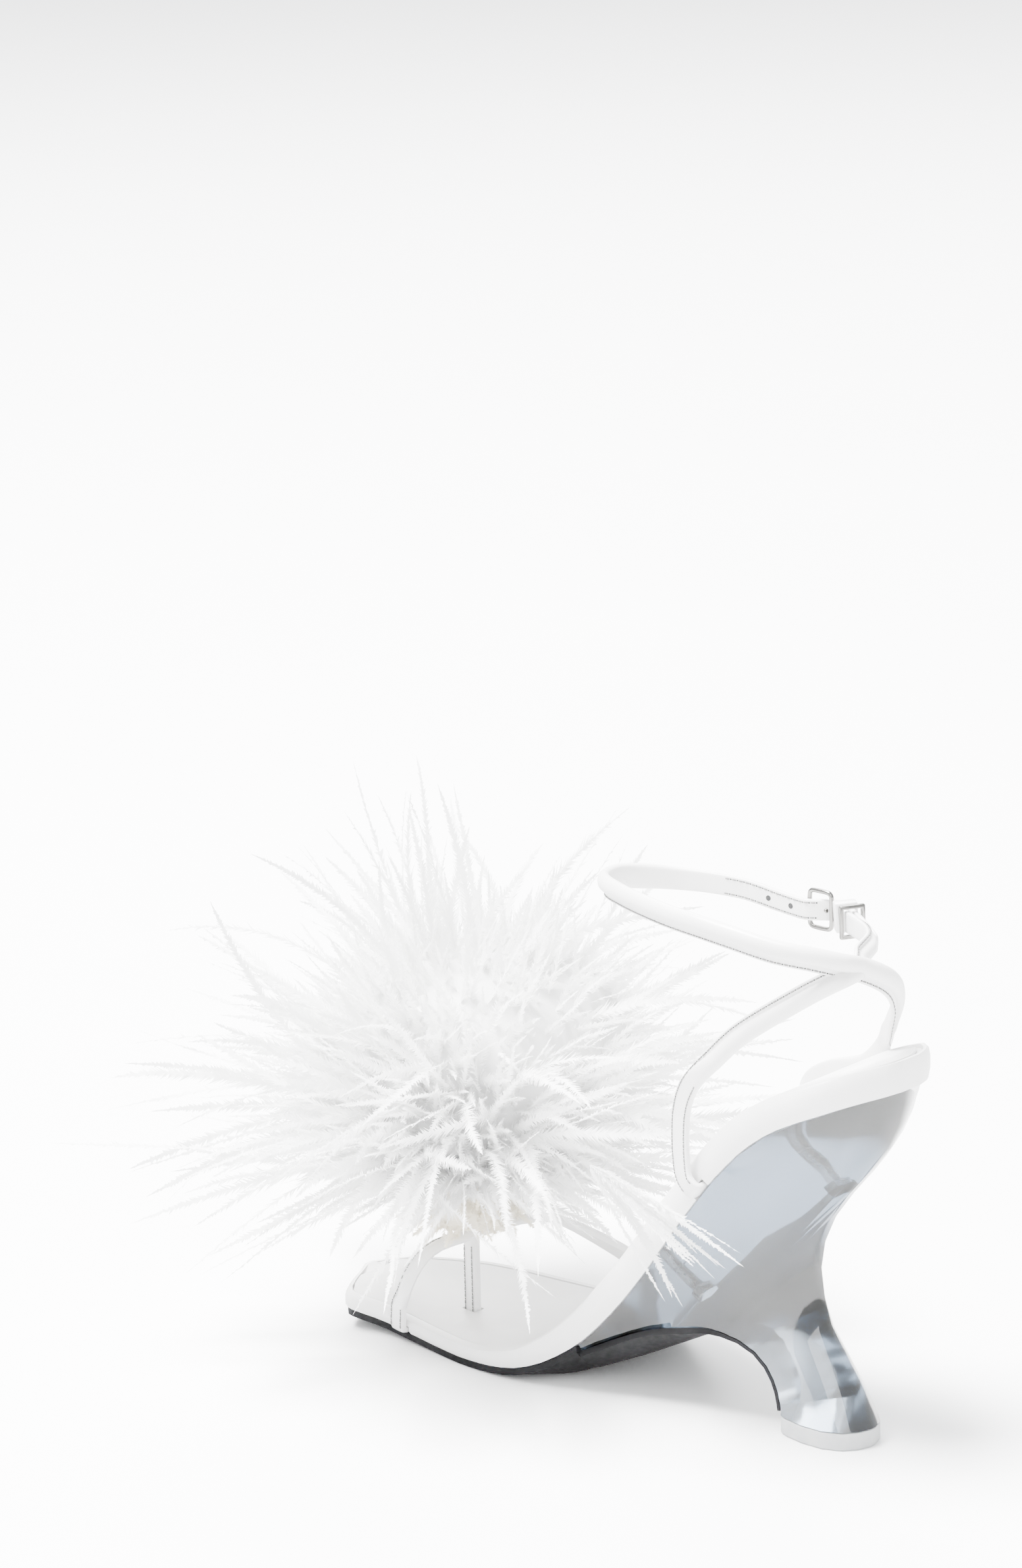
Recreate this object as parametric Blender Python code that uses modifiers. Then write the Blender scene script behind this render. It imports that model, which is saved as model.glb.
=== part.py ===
"""Feather sandal, right foot: padded footbed on a clear sculpted wedge, rolled straps and a plume pompom.

Metres, +Z up, +Y towards the toe, +X to the wearer's right, the outer side of this shoe.
The origin is the middle of the heel tread's underside, on the floor.
"""

import math
import random

import bmesh
import bpy
import numpy as np
from mathutils import Vector

MM = 0.001

# Footbed
FOOT_RUN = 204.5 * MM
HEEL_OVERHANG = 27.5 * MM
SEAT_HEIGHT = 109.5 * MM
SEAT_WIDTH = 54 * MM
SEAT_ROUND = 27 * MM
BALL_WIDTH = 66 * MM
RAND_SEAT = 8.7 * MM
RAND_FORE = 4.5 * MM
RAND_BULGE = 0.8 * MM
RIM_WIDTH = 2.6 * MM
TOE_SPRING = 5.5 * MM
ARCH_TWIST = 0.073
SOCK_THICK = 0.8 * MM

# Sole, heel and tread
SOLE_THICK = 2.0 * MM
BREAST_THICK = 1.1 * MM
NOSE_PLACE = 77 * MM
FLAT_BACK = 91 * MM
ARCH_HEIGHT = 24.9 * MM
ARCH_RISE = 7.2 * MM
NECK_WIDTH = 19.6 * MM
NECK_PLACE = 6 * MM
TAPER_DEPTH = 60 * MM
RAND_INSET = 2.2 * MM
TREAD_WIDTH = 22.4 * MM
TREAD_LENGTH = 26.2 * MM
TREAD_THICK = 5.3 * MM
TREAD_ROUND = 12 * MM
BREAST_NARROW = 0.2

# Bolts in the heel
BOLT_HEAD = 7.0 * MM
BOLT_HEAD_THICK = 2.4 * MM
BOLT_SHANK = 4.4 * MM
FRONT_BOLT_PLACE = 52.5 * MM
FRONT_BOLT_REACH = 12 * MM
REAR_BOLT_PLACE = 10 * MM
REAR_BOLT_REACH = 18.5 * MM

# Straps
STRAP_FLAT = 6.2 * MM
ROLL_WIDTH = 7.4 * MM
ROLL_THICK = 3.6 * MM
TAB_WIDTH = 7.6 * MM
TAB_THICK = 1.8 * MM
TUCK_DEPTH = 8 * MM
TAIL_HANG = 3.6 * MM
ANKLE_WIDTH = 62 * MM
ANKLE_LENGTH = 100 * MM
ANKLE_RISE = 45 * MM
TAB_PLACE = 28 * MM
VAMP_WIDTH = 6.0 * MM
VAMP_THICK = 2.8 * MM
VAMP_RISE = 31 * MM
VAMP_INNER_PLACE = 145.5 * MM
VAMP_OUTER_PLACE = 93 * MM
POST_WIDTH = 4.6 * MM
POST_THICK = 3.6 * MM

# Buckle
FRAME_HEIGHT = 12.6 * MM
FRAME_LENGTH = 9.6 * MM
FRAME_WIRE = 1.6 * MM
PRONG_WIRE = 1.3 * MM
KEEPER_LENGTH = 4.6 * MM
KEEPER_THICK = 0.9 * MM
RING_LENGTH = 1.6 * MM
RING_THICK = 1.1 * MM

# Pompom
BASE_RADIUS = 16 * MM
BASE_HEIGHT = 12.5 * MM
POMPOM_RADIUS = 60 * MM
POMPOM_HEIGHT = 84 * MM
LOCK_LENGTH = 44 * MM

GAP = 0.3 * MM

# Footbed plan and side line. run: share of FOOT_RUN from the heel back. inner, outer: half widths
# as shares of the local width. rise: share of the seat's height above the forefoot. spring: share
# of TOE_SPRING.
FOOT_ROWS = (
    # run, inner, outer, rise, spring
    (0.000, 0.480, 0.480, 1.000, 0.00),
    (0.037, 0.480, 0.480, 0.980, 0.00),
    (0.067, 0.482, 0.482, 0.957, 0.00),
    (0.133, 0.487, 0.487, 0.899, 0.00),
    (0.182, 0.500, 0.506, 0.835, 0.00),
    (0.240, 0.482, 0.506, 0.730, 0.00),
    (0.303, 0.431, 0.500, 0.595, 0.00),
    (0.357, 0.385, 0.501, 0.468, 0.00),
    (0.408, 0.351, 0.513, 0.335, 0.00),
    (0.457, 0.338, 0.530, 0.214, 0.00),
    (0.509, 0.345, 0.531, 0.106, 0.00),
    (0.550, 0.364, 0.539, 0.050, 0.00),
    (0.589, 0.386, 0.554, 0.017, 0.00),
    (0.628, 0.405, 0.566, 0.003, 0.00),
    (0.664, 0.408, 0.560, 0.000, 0.00),
    (0.711, 0.400, 0.545, 0.000, 0.00),
    (0.769, 0.375, 0.515, 0.000, 0.06),
    (0.823, 0.353, 0.480, 0.000, 0.18),
    (0.876, 0.343, 0.415, 0.000, 0.38),
    (0.910, 0.353, 0.345, 0.000, 0.55),
    (0.938, 0.370, 0.270, 0.000, 0.69),
    (0.950, 0.366, 0.235, 0.000, 0.75),
    (0.966, 0.305, 0.180, 0.000, 0.83),
    (0.980, 0.215, 0.115, 0.000, 0.90),
    (0.992, 0.130, 0.025, 0.000, 0.96),
    (1.000, 0.085, -0.025, 0.000, 1.00),
)

# Under the waist and down the breast, from the wedge's nose to the tread. back: share of the way
# back to the tread's front. up: share of ARCH_HEIGHT. inner, outer: how far the two edges of the
# rounded sole stand above its middle, as shares of ARCH_RISE.
SOLE_ROWS = (
    # back, up, inner, outer
    (0.000, 0.169, 1.00, 0.48),
    (0.096, 0.281, 1.05, 0.47),
    (0.183, 0.390, 1.06, 0.46),
    (0.305, 0.546, 1.00, 0.43),
    (0.418, 0.691, 0.80, 0.38),
    (0.523, 0.827, 0.52, 0.27),
    (0.611, 0.940, 0.30, 0.16),
    (0.691, 1.000, 0.13, 0.07),
    (0.764, 0.998, 0.04, 0.02),
    (0.823, 0.948, 0.00, 0.00),
    (0.879, 0.843, 0.00, 0.00),
    (0.926, 0.715, 0.00, 0.00),
    (0.961, 0.570, 0.00, 0.00),
    (0.987, 0.414, 0.00, 0.00),
    (1.000, 0.265, 0.00, 0.00),
)

# Back line of the wedge. up: share of SEAT_HEIGHT. back: 0 at the neck, 1 at the seat's back end
# above the neck and at the tread's back end below it.
BACK_ROWS = (
    # up, back
    (0.051, 1.000),
    (0.100, 0.860),
    (0.165, 0.655),
    (0.237, 0.393),
    (0.292, 0.194),
    (0.370, 0.058),
    (0.447, 0.000),
    (0.520, 0.045),
    (0.595, 0.165),
    (0.687, 0.410),
    (0.767, 0.655),
    (0.858, 0.870),
    (0.940, 0.975),
    (1.000, 1.000),
)

# How the wedge's sections fan. top: 0 at the nose, 1 at the seat's back, 2 at the tread's back.
# sole: share of the way along the sole's line at the same section.
FAN_ROWS = (
    # top, sole
    (0.00, 0.000),
    (0.12, 0.200),
    (0.30, 0.310),
    (0.50, 0.380),
    (0.80, 0.445),
    (1.00, 0.475),
    (1.15, 0.515),
    (1.24, 0.545),
    (1.33, 0.585),
    (1.42, 0.640),
    (1.50, 0.705),
    (1.58, 0.772),
    (1.66, 0.835),
    (1.74, 0.888),
    (1.84, 0.950),
    (1.94, 1.000),
)
FAN_STOPS = (0, 0.04, 0.09, 0.15, 0.22, 0.30, 0.39, 0.48, 0.57, 0.66, 0.75, 0.83, 0.90, 0.95, 1.0,
             1.05, 1.11, 1.18, 1.26, 1.34, 1.42, 1.50, 1.58, 1.66, 1.74, 1.81, 1.88, 1.94)

# Ankle strap routes between the rand and the buckle. across: share of half ANKLE_WIDTH, outer side
# positive. along: share of ANKLE_LENGTH from the middle of the tread. up: share of ANKLE_RISE
# above the seat. roll: 0 where the strap is flat, 1 where it is rolled.
INNER_STRAND_ROWS = (
    # across, along, up, roll
    (-0.870, 0.335, -0.30, 0.0),
    (-0.890, 0.298, -0.08, 0.0),
    (-0.900, 0.210, 0.13, 1.0),
    (-0.865, 0.135, 0.295, 1.0),
    (-0.800, 0.053, 0.435, 1.0),
    (-0.735, -0.017, 0.545, 1.0),
    (-0.655, -0.085, 0.650, 1.0),
    (-0.530, -0.138, 0.725, 1.0),
    (-0.355, -0.152, 0.748, 1.0),
    (-0.230, -0.147, 0.760, 1.0),
    (-0.030, -0.100, 0.772, 1.0),
    (0.290, -0.060, 0.777, 1.0),
    (0.600, 0.030, 0.755, 0.5),
    (0.830, 0.140, 0.735, 0.0),
    (0.950, 0.200, 0.730, 0.0),
)
OUTER_STRAND_ROWS = (
    # across, along, up, roll
    (1.000, 0.330, -0.420, 0.0),
    (1.020, 0.245, -0.300, 0.0),
    (0.985, 0.125, -0.215, 0.7),
    (0.985, 0.058, -0.060, 1.0),
    (0.880, 0.020, 0.060, 1.0),
    (0.710, -0.028, 0.140, 1.0),
    (0.560, -0.072, 0.240, 1.0),
    (0.410, -0.125, 0.400, 1.0),
    (0.215, -0.163, 0.550, 1.0),
    (0.000, -0.178, 0.655, 1.0),
    (-0.240, -0.157, 0.745, 1.0),
    (-0.480, -0.150, 0.805, 1.0),
    (-0.710, -0.090, 0.862, 1.0),
    (-0.870, -0.005, 0.897, 1.0),
    (-0.970, 0.110, 0.950, 1.0),
    (-1.000, 0.225, 0.980, 1.0),
    (-0.950, 0.355, 0.990, 1.0),
    (-0.820, 0.495, 0.990, 1.0),
    (-0.550, 0.652, 0.960, 1.0),
    (-0.190, 0.788, 0.910, 1.0),
    (0.160, 0.828, 0.882, 1.0),
    (0.450, 0.808, 0.847, 1.0),
    (0.710, 0.742, 0.812, 0.4),
    (0.870, 0.655, 0.792, 0.0),
    (0.970, 0.555, 0.770, 0.0),
    (1.000, 0.460, 0.740, 0.0),
)
BUCKLE_ALONG = 0.308
BUCKLE_ACROSS = 1.065
BUCKLE_UP = 0.722

# Forefoot strap. across: share of half BALL_WIDTH. along: share of the way from the inner to the
# outer end. up: share of VAMP_RISE above the forefoot.
VAMP_ROWS = (
    # across, along, up
    (-0.755, 0.030, 0.44),
    (-0.680, 0.051, 0.63),
    (-0.560, 0.076, 0.785),
    (-0.379, 0.101, 0.870),
    (-0.182, 0.166, 0.916),
    (0.030, 0.267, 0.984),
    (0.242, 0.370, 1.035),
    (0.450, 0.461, 1.020),
    (0.606, 0.541, 0.950),
    (0.758, 0.615, 0.830),
    (0.879, 0.697, 0.716),
    (0.985, 0.796, 0.590),
    (1.090, 0.890, 0.410),
)
POST_ACROSS = -0.106
POST_ALONG = 0.205

# Pompom locks by height on the core. level: 0 at the core's foot, 1 at its top. reach: share of
# LOCK_LENGTH.
LOCK_ROWS = (
    # level, reach
    (0.00, 0.00),
    (0.18, 0.70),
    (0.40, 0.95),
    (0.65, 0.85),
    (1.00, 0.95),
)


def column(rows, k):
    return np.array([row[k] for row in rows])


def ease(share):
    share = min(max(share, 0.0), 1.0)
    return share * share * (3 - 2 * share)


def smooth(xs, ys, x):
    """Monotone cubic through the rows, which never overshoots them."""
    steps = np.diff(xs)
    slopes = np.diff(ys) / steps
    at = np.zeros(len(xs))
    at[0], at[-1] = slopes[0], slopes[-1]
    for k in range(1, len(xs) - 1):
        if slopes[k - 1] * slopes[k] > 0:
            a = 2 * steps[k] + steps[k - 1]
            b = steps[k] + 2 * steps[k - 1]
            at[k] = (a + b) / (a / slopes[k - 1] + b / slopes[k])
    k = int(min(max(np.searchsorted(xs, x) - 1, 0), len(xs) - 2))
    t = min(max((x - xs[k]) / steps[k], 0.0), 1.0)
    return float(
        (1 + 2 * t) * (1 - t) ** 2 * ys[k]
        + t * (1 - t) ** 2 * steps[k] * at[k]
        + t * t * (3 - 2 * t) * ys[k + 1]
        - t * t * (1 - t) * steps[k] * at[k + 1]
    )


def spline(points, stops):
    """Points of a centripetal curve through the given ones, stops between each pair."""
    points = [np.array(p, float) for p in points]
    full = [2 * points[0] - points[1]] + points + [2 * points[-1] - points[-2]]
    line = []
    for k in range(1, len(full) - 2):
        p = full[k - 1 : k + 3]
        knots = [0.0]
        for a, b in zip(p, p[1:]):
            knots.append(knots[-1] + max(np.linalg.norm(b[:3] - a[:3]), 1e-6) ** 0.5)
        for step in range(stops):
            t = knots[1] + (knots[2] - knots[1]) * step / stops
            level = list(p)
            for order in (1, 2, 3):
                level = [
                    (level[j] * (knots[j + order] - t) + level[j + 1] * (t - knots[j]))
                    / (knots[j + order] - knots[j])
                    for j in range(len(level) - 1)
                ]
            line.append(level[0])
    line.append(points[-1])
    return line


# The last: footbed outline, underside and top

def foot_place(run):
    return run * FOOT_RUN - HEEL_OVERHANG


def foot_run(y):
    return (y + HEEL_OVERHANG) / FOOT_RUN


def full_half(y, side):
    run = foot_run(y)
    local = SEAT_WIDTH + (BALL_WIDTH - SEAT_WIDTH) * ease((run - 0.35) / 0.25)
    return local * smooth(column(FOOT_ROWS, 0), column(FOOT_ROWS, 1 if side < 0 else 2), run)


def seat_nose(y, start):
    """Rounding of the heel end: 0 at its start, 1 past SEAT_ROUND."""
    share = min(max((y - start) / SEAT_ROUND, 0.0), 1.0)
    return (1 - (1 - share) ** 2) ** 0.6


def foot_half(y, side, inset=0.0):
    """Half width of the footbed at y, drawn in by inset all round."""
    start = foot_place(0) + inset
    return (full_half(y, side) - inset) * seat_nose(y, start)


def underside(y, x=0.0):
    """Height of the footbed's underside, with the waist's inner edge raised."""
    run = foot_run(y)
    level = SOLE_THICK + GAP
    rise = smooth(column(FOOT_ROWS, 0), column(FOOT_ROWS, 3), run) * (SEAT_HEIGHT - level)
    spring = smooth(column(FOOT_ROWS, 0), column(FOOT_ROWS, 4), run) * TOE_SPRING
    twist = ARCH_TWIST * math.exp(-(((run - 0.5) / 0.13) ** 2))
    return level + rise + spring + twist * (0.018 - x)


def slope(y):
    step = 0.5 * MM
    return (underside(y + step) - underside(y - step)) / (2 * step)


def stretch(y):
    """Level thickness of a sloping layer that is 1 thick."""
    return math.sqrt(1 + slope(y) ** 2)


def rand_height(y):
    share = ease((foot_run(y) - 0.50) / 0.2)
    return RAND_SEAT + (RAND_FORE - RAND_SEAT) * share


def top_height(y, x=0.0):
    """Top of the footbed's sunken middle."""
    return underside(y, x) + (rand_height(y) - SOCK_THICK - GAP) * stretch(y)


def down_normal(y):
    """Direction out of the footbed's underside."""
    s = slope(y)
    return np.array([0.0, s, -1.0]) / math.sqrt(1 + s * s)


# Mesh helpers

def material(name, colour, roughness, metallic=0.0, transmission=0.0):
    mat = bpy.data.materials.get(name)
    if mat:
        return mat
    mat = bpy.data.materials.new(name)
    mat.use_nodes = True
    shader = mat.node_tree.nodes["Principled BSDF"]
    shader.inputs["Base Color"].default_value = (*colour, 1)
    shader.inputs["Roughness"].default_value = roughness
    shader.inputs["Metallic"].default_value = metallic
    shader.inputs["Transmission Weight"].default_value = transmission
    return mat


def place(obj, collection, mat=None):
    collection.objects.link(obj)
    if mat:
        obj.data.materials.clear()
        obj.data.materials.append(mat)
    return obj


def loft(name, rings, smooth_angle=40):
    """One closed skin through rings of equal point counts, with both ends filled."""
    count = len(rings[0])
    verts = [tuple(float(c) for c in p) for ring in rings for p in ring]
    faces = [
        (r * count + k, r * count + (k + 1) % count,
         (r + 1) * count + (k + 1) % count, (r + 1) * count + k)
        for r in range(len(rings) - 1)
        for k in range(count)
    ]
    last = (len(rings) - 1) * count
    faces.append(tuple(reversed(range(count))))
    faces.append(tuple(last + k for k in range(count)))
    mesh = bpy.data.meshes.new(name)
    mesh.from_pydata(verts, [], faces)
    shape = bmesh.new()
    shape.from_mesh(mesh)
    bmesh.ops.triangulate(shape, faces=[f for f in shape.faces if len(f.verts) > 4])
    if shape.calc_volume(signed=True) < 0:
        bmesh.ops.reverse_faces(shape, faces=shape.faces)
    shape.to_mesh(mesh)
    shape.free()
    mesh.shade_smooth()
    mesh.set_sharp_from_angle(angle=math.radians(smooth_angle))
    return bpy.data.objects.new(name, mesh)


def wire(name, points, diameter, collection, mat, cyclic=False, sides=2):
    curve = bpy.data.curves.new(name, "CURVE")
    curve.dimensions = "3D"
    curve.bevel_depth = diameter / 2
    curve.bevel_resolution = sides
    curve.use_fill_caps = not cyclic
    line = curve.splines.new("POLY")
    line.points.add(len(points) - 1)
    for point, where in zip(line.points, points):
        point.co = (*[float(c) for c in where], 1)
    line.use_cyclic_u = cyclic
    obj = bpy.data.objects.new(name, curve)
    collection.objects.link(obj)
    curve.materials.append(mat)
    return obj


def as_cutter(obj, cutters):
    obj.hide_render = True
    obj.display_type = "WIRE"
    if obj.name not in cutters.objects:
        cutters.objects.link(obj)
    return obj


def boolean(obj, tool, operation):
    mod = obj.modifiers.new(tool.name, "BOOLEAN")
    mod.operation = operation
    mod.solver = "EXACT"
    mod.object = tool
    return mod


def block(name, centre, along, normal, sizes, cutters):
    """A box cutter with its third axis on normal and its second on along."""
    normal = Vector(normal).normalized()
    along = Vector(along)
    along = (along - normal * along.dot(normal)).normalized()
    across = along.cross(normal)
    shape = bmesh.new()
    bmesh.ops.create_cube(shape, size=1.0)
    for vert in shape.verts:
        x, y, z = (vert.co[k] * sizes[k] for k in range(3))
        vert.co = Vector(centre) + across * x + along * y + normal * z
    mesh = bpy.data.meshes.new(name)
    shape.to_mesh(mesh)
    shape.free()
    return as_cutter(bpy.data.objects.new(name, mesh), cutters)


# Footbed and sock lining

def foot_stations():
    """Runs of the footbed's sections, closest at its two ends."""
    heel = [0.003, 0.0105, 0.0125, 0.021, 0.034, 0.052, 0.075, 0.103]
    middle = list(np.linspace(0.135, 0.90, 36))
    toe = [0.925, 0.940, 0.950, 0.960, 0.972, 0.982, 0.986, 0.994, 1.0]
    return heel + middle + toe


def footbed_ring(run):
    y = foot_place(run)
    level = stretch(y)
    height = rand_height(y) * level
    sunk = SOCK_THICK + GAP
    rim_run = RIM_WIDTH / FOOT_RUN
    sink = sunk * level if rim_run - 0.001 < run < 1 - rim_run - 0.0005 else 0.0
    edges = {side: foot_half(y, side) for side in (-1, 1)}
    width = (edges[-1] + edges[1]) / 2
    rim = min(RIM_WIDTH, 0.6 * width)
    bulge = min(RAND_BULGE, 0.3 * width)
    ring = []
    for side in (-1, 1):
        profile = [
            (0.0, 0.0), (bulge, 0.28 * height), (bulge, 0.62 * height), (0.2 * bulge, 0.90 * height),
            (-0.35 * rim, height), (-0.94 * rim, height), (-rim, height - sink),
        ]
        points = []
        for out, up in profile:
            x = side * (edges[side] + out)
            points.append((x, y, underside(y, x) + up))
        ring += points if side < 0 else points[::-1]
    return ring


def sock_ring(y, inset):
    level = stretch(y)
    edges = {side: foot_half(y, side, inset) for side in (-1, 1)}
    bevel = min(0.5 * MM, 0.15 * (edges[-1] + edges[1]))
    low, high = GAP * level, (GAP + SOCK_THICK) * level
    ring = []
    for side in (-1, 1):
        points = []
        for out, up in ((0.0, low), (0.0, 0.75 * high), (-bevel, high)):
            x = side * (edges[side] + out)
            points.append((x, y, top_height(y, x) + up))
        ring += points if side < 0 else points[::-1]
    return ring


def post_spot():
    """Where the toe post meets the strap above and the footbed below."""
    x = POST_ACROSS * BALL_WIDTH / 2
    y = VAMP_INNER_PLACE + POST_ALONG * (VAMP_OUTER_PLACE - VAMP_INNER_PLACE)
    return x, y


def tuck_axes(y, side):
    """Edge point where a strap end tucks in, the way out square to the edge, and the way down."""
    half = foot_half(y, side)
    turn = (foot_half(y + MM, side) - foot_half(y - MM, side)) / (2 * MM)
    normal = down_normal(y)
    out = np.array([float(side), -turn, 0.0])
    out = out - normal * np.dot(out, normal)
    return np.array([side * half, y, underside(y, side * half)]), out / np.linalg.norm(out), normal


def tuck_slots(cutters):
    """Slots under the footbed's edge that take the ends of the straps."""
    spots = [
        ("tuck_ankle_inner", TAB_PLACE, -1, TAB_WIDTH),
        ("tuck_ankle_outer", TAB_PLACE, 1, TAB_WIDTH),
        ("tuck_vamp_inner", VAMP_INNER_PLACE, -1, VAMP_WIDTH),
        ("tuck_vamp_outer", VAMP_OUTER_PLACE, 1, VAMP_WIDTH),
    ]
    tools = []
    reach = TUCK_DEPTH + GAP
    depth = TAB_THICK + 2 * GAP
    for name, y, side, width in spots:
        edge, out, normal = tuck_axes(y, side)
        middle = edge - out * (reach - 3 * MM) / 2 - normal * (depth / 2 - MM)
        size = (reach + 3 * MM, width + 2 * GAP, depth + 2 * MM)
        tools.append(block(name, middle, np.cross(out, normal), normal, size, cutters))
    return tools


def make_footbed(collection, cutters):
    leather = material("white_leather", (0.86, 0.85, 0.84), 0.42)
    footbed = loft("footbed", [footbed_ring(run) for run in foot_stations()])
    place(footbed, collection, leather)
    for tool in tuck_slots(cutters):
        boolean(footbed, tool, "DIFFERENCE")
    inset = RIM_WIDTH + 0.4 * MM
    start = (inset + 0.4 * MM) / FOOT_RUN
    runs = [start, start + 0.004, start + 0.012, start + 0.025]
    runs += [run for run in foot_stations() if start + 0.03 < run < 0.955] + [0.966, 0.977]
    lining = material("sock_leather", (0.88, 0.87, 0.86), 0.5)
    sock = loft("sock_lining", [sock_ring(foot_place(run), inset) for run in runs])
    place(sock, collection, lining)
    x, y = post_spot()
    size = (POST_THICK + 2 * GAP, POST_WIDTH + 2 * GAP, 3 * SOCK_THICK)
    hole = block("post_hole", (x, y, top_height(y, x) + GAP), (0, 1, 0), (0, 0, 1), size, cutters)
    pocket_size = (size[0], size[1], 2.4 * MM)
    pocket = block("post_pocket", (x, y, top_height(y, x)), (0, 1, 0), (0, 0, 1), pocket_size, cutters)
    boolean(sock, hole, "DIFFERENCE")
    boolean(footbed, pocket, "DIFFERENCE")


# Outsole, wedge and tread

SOLE_SHARES = (-1.0, -0.86, -0.6, 0.0, 0.6, 0.86, 1.0)


def tread_front():
    return TREAD_LENGTH / 2 + BREAST_THICK + GAP


def sole_point(share):
    """Middle of the sole's outer face at a share of the way from the nose to the tread."""
    ups = column(SOLE_ROWS, 1) * ARCH_HEIGHT
    backs = column(SOLE_ROWS, 0) * (tread_front() - NOSE_PLACE) + NOSE_PLACE
    lengths = np.concatenate([[0], np.cumsum(np.hypot(np.diff(backs), np.diff(ups)))])
    along = share * lengths[-1]
    rises = [smooth(lengths, column(SOLE_ROWS, k) * ARCH_RISE, along) for k in (2, 3)]
    line = np.array(spline([(y, z, 0) for y, z in zip(backs, ups)], 8))
    at = np.concatenate([[0], np.cumsum(np.linalg.norm(np.diff(line[:, :2], axis=0), axis=1))])
    place_at = share * at[-1]
    y = float(np.interp(place_at, at, line[:, 0]))
    z = float(np.interp(place_at, at, line[:, 1]))
    return y, z, rises


def back_line(z):
    """Back of the wedge at height z."""
    share = smooth(column(BACK_ROWS, 0), column(BACK_ROWS, 1), z / SEAT_HEIGHT)
    neck = BACK_ROWS[6][0] * SEAT_HEIGHT
    end = foot_place(0) + RAND_INSET if z > neck else -TREAD_LENGTH / 2
    return NECK_PLACE + share * (end - NECK_PLACE)


def wedge_half(y, z, side):
    """Half width of the wedge at a place on its side."""
    depth = max(underside(y) - z, 0.0)
    low = min(max((30 * MM - z) / (25 * MM), 0.0), 1.0)
    column_half = NECK_WIDTH / 2 + (TREAD_WIDTH - NECK_WIDTH) / 2 * low * low
    full = full_half(y, side) - 0.4 * MM
    taper = (1 - min(depth / TAPER_DEPTH, 1.0)) ** 1.5
    reach = column_half + (full - column_half) * taper
    rise = ease((z - TREAD_THICK) / (55 * MM))
    length = TREAD_ROUND + (SEAT_ROUND - TREAD_ROUND) * rise
    share = min(max((y - back_line(z)) / length, 0.0), 1.0)
    return max(reach * (1 - (1 - share) ** 2) ** (0.5 + 0.1 * rise), 1.2 * MM)


def forefoot_row(y):
    """Outer face of the sole at a section of the forefoot, inner to outer edge."""
    nose_up = SOLE_ROWS[0][1] * ARCH_HEIGHT
    lift = max((FLAT_BACK - y) / (FLAT_BACK - NOSE_PLACE), 0.0) ** 1.6 * nose_up
    spring = smooth(column(FOOT_ROWS, 0), column(FOOT_ROWS, 4), foot_run(y)) * TOE_SPRING
    middle = lift + spring
    row = []
    for share in SOLE_SHARES:
        side = -1 if share < 0 else 1
        half = foot_half(y, side, GAP)
        x = side * half * abs(share)
        edge = underside(y, side * half) - SOLE_THICK - GAP
        row.append(np.array([x, y, middle + (edge - middle) * abs(share) ** 3]))
    return row


def waist_row(share):
    """Outer face of the sole under the waist and on the breast."""
    y, z, rises = sole_point(share)
    row = []
    for part in SOLE_SHARES:
        side = -1 if part < 0 else 1
        rise = rises[0 if side < 0 else 1]
        high = z + rise + SOLE_THICK
        half = wedge_half(y, min(high, underside(y) - MM), side)
        narrow = 1 - BREAST_NARROW * ease((share - 0.62) / 0.3)
        x = side * abs(part) * (half * narrow + 0.6 * MM * (1 - ease((share - 0.5) / 0.1)))
        row.append(np.array([x, y, z + rise * abs(part) ** 3]))
    return row


def grid_normals(grid):
    """Unit normals of a grid of points, pointing into the shoe."""
    normals = []
    for r, row in enumerate(grid):
        before, after = grid[max(r - 1, 0)], grid[min(r + 1, len(grid) - 1)]
        line = []
        for k in range(len(row)):
            along = after[k] - before[k]
            across = row[min(k + 1, len(row) - 1)] - row[max(k - 1, 0)]
            normal = np.cross(along, across)
            line.append(normal / np.linalg.norm(normal))
        normals.append(line)
    return normals


def sole_thickness(share):
    return SOLE_THICK + (BREAST_THICK - SOLE_THICK) * ease((share - 0.45) / 0.25)


def fan_share(top):
    return smooth(column(FAN_ROWS, 0), column(FAN_ROWS, 1), top)


def waist_grids():
    """Outer face of the sole, its inner face and the wedge's lower face."""
    shares = [fan_share(top) for top in FAN_STOPS]
    outer = [waist_row(share) for share in shares]
    normals = grid_normals(outer)
    inner, lower = [], []
    for share, row, lines in zip(shares, outer, normals):
        thick = sole_thickness(share)
        inner.append([p + n * thick for p, n in zip(row, lines)])
        lower.append([p + n * (thick + GAP) for p, n in zip(row, lines)])
    return outer, inner, lower


def make_outsole(collection):
    rubber = material("black_sole", (0.012, 0.012, 0.013), 0.38)
    outer, inner, _ = waist_grids()
    runs = [run for run in foot_stations() if run > foot_run(NOSE_PLACE) + 0.012][::-1]
    rings = []
    for run in runs + [foot_run(NOSE_PLACE + 1.4 * MM)]:
        y = foot_place(run)
        row = forefoot_row(y)
        top = [np.array([p[0], y, underside(y, p[0]) - GAP * stretch(y)]) for p in row]
        rings.append(row + top[::-1])
    for row, top in zip(outer, inner):
        rings.append(row + top[::-1])
    place(loft("outsole", rings), collection, rubber)


SIDE_STOPS = (0.0, 0.10, 0.36, 0.62, 0.83, 0.95, 1.0)


def wedge_nose():
    return NOSE_PLACE + 0.65 * MM


def wedge_top(top):
    """Upper edge of the wedge's section: under the footbed up to 1, down its back to 2."""
    seat_back = foot_place(0) + RAND_INSET
    if top <= 1:
        share = 1 - (1 - top) ** 1.15
        y = wedge_nose() + (seat_back - wedge_nose()) * share
        return y, None
    z = underside(seat_back) + (TREAD_THICK + GAP - underside(seat_back)) * (top - 1)
    return back_line(z), z


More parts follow.
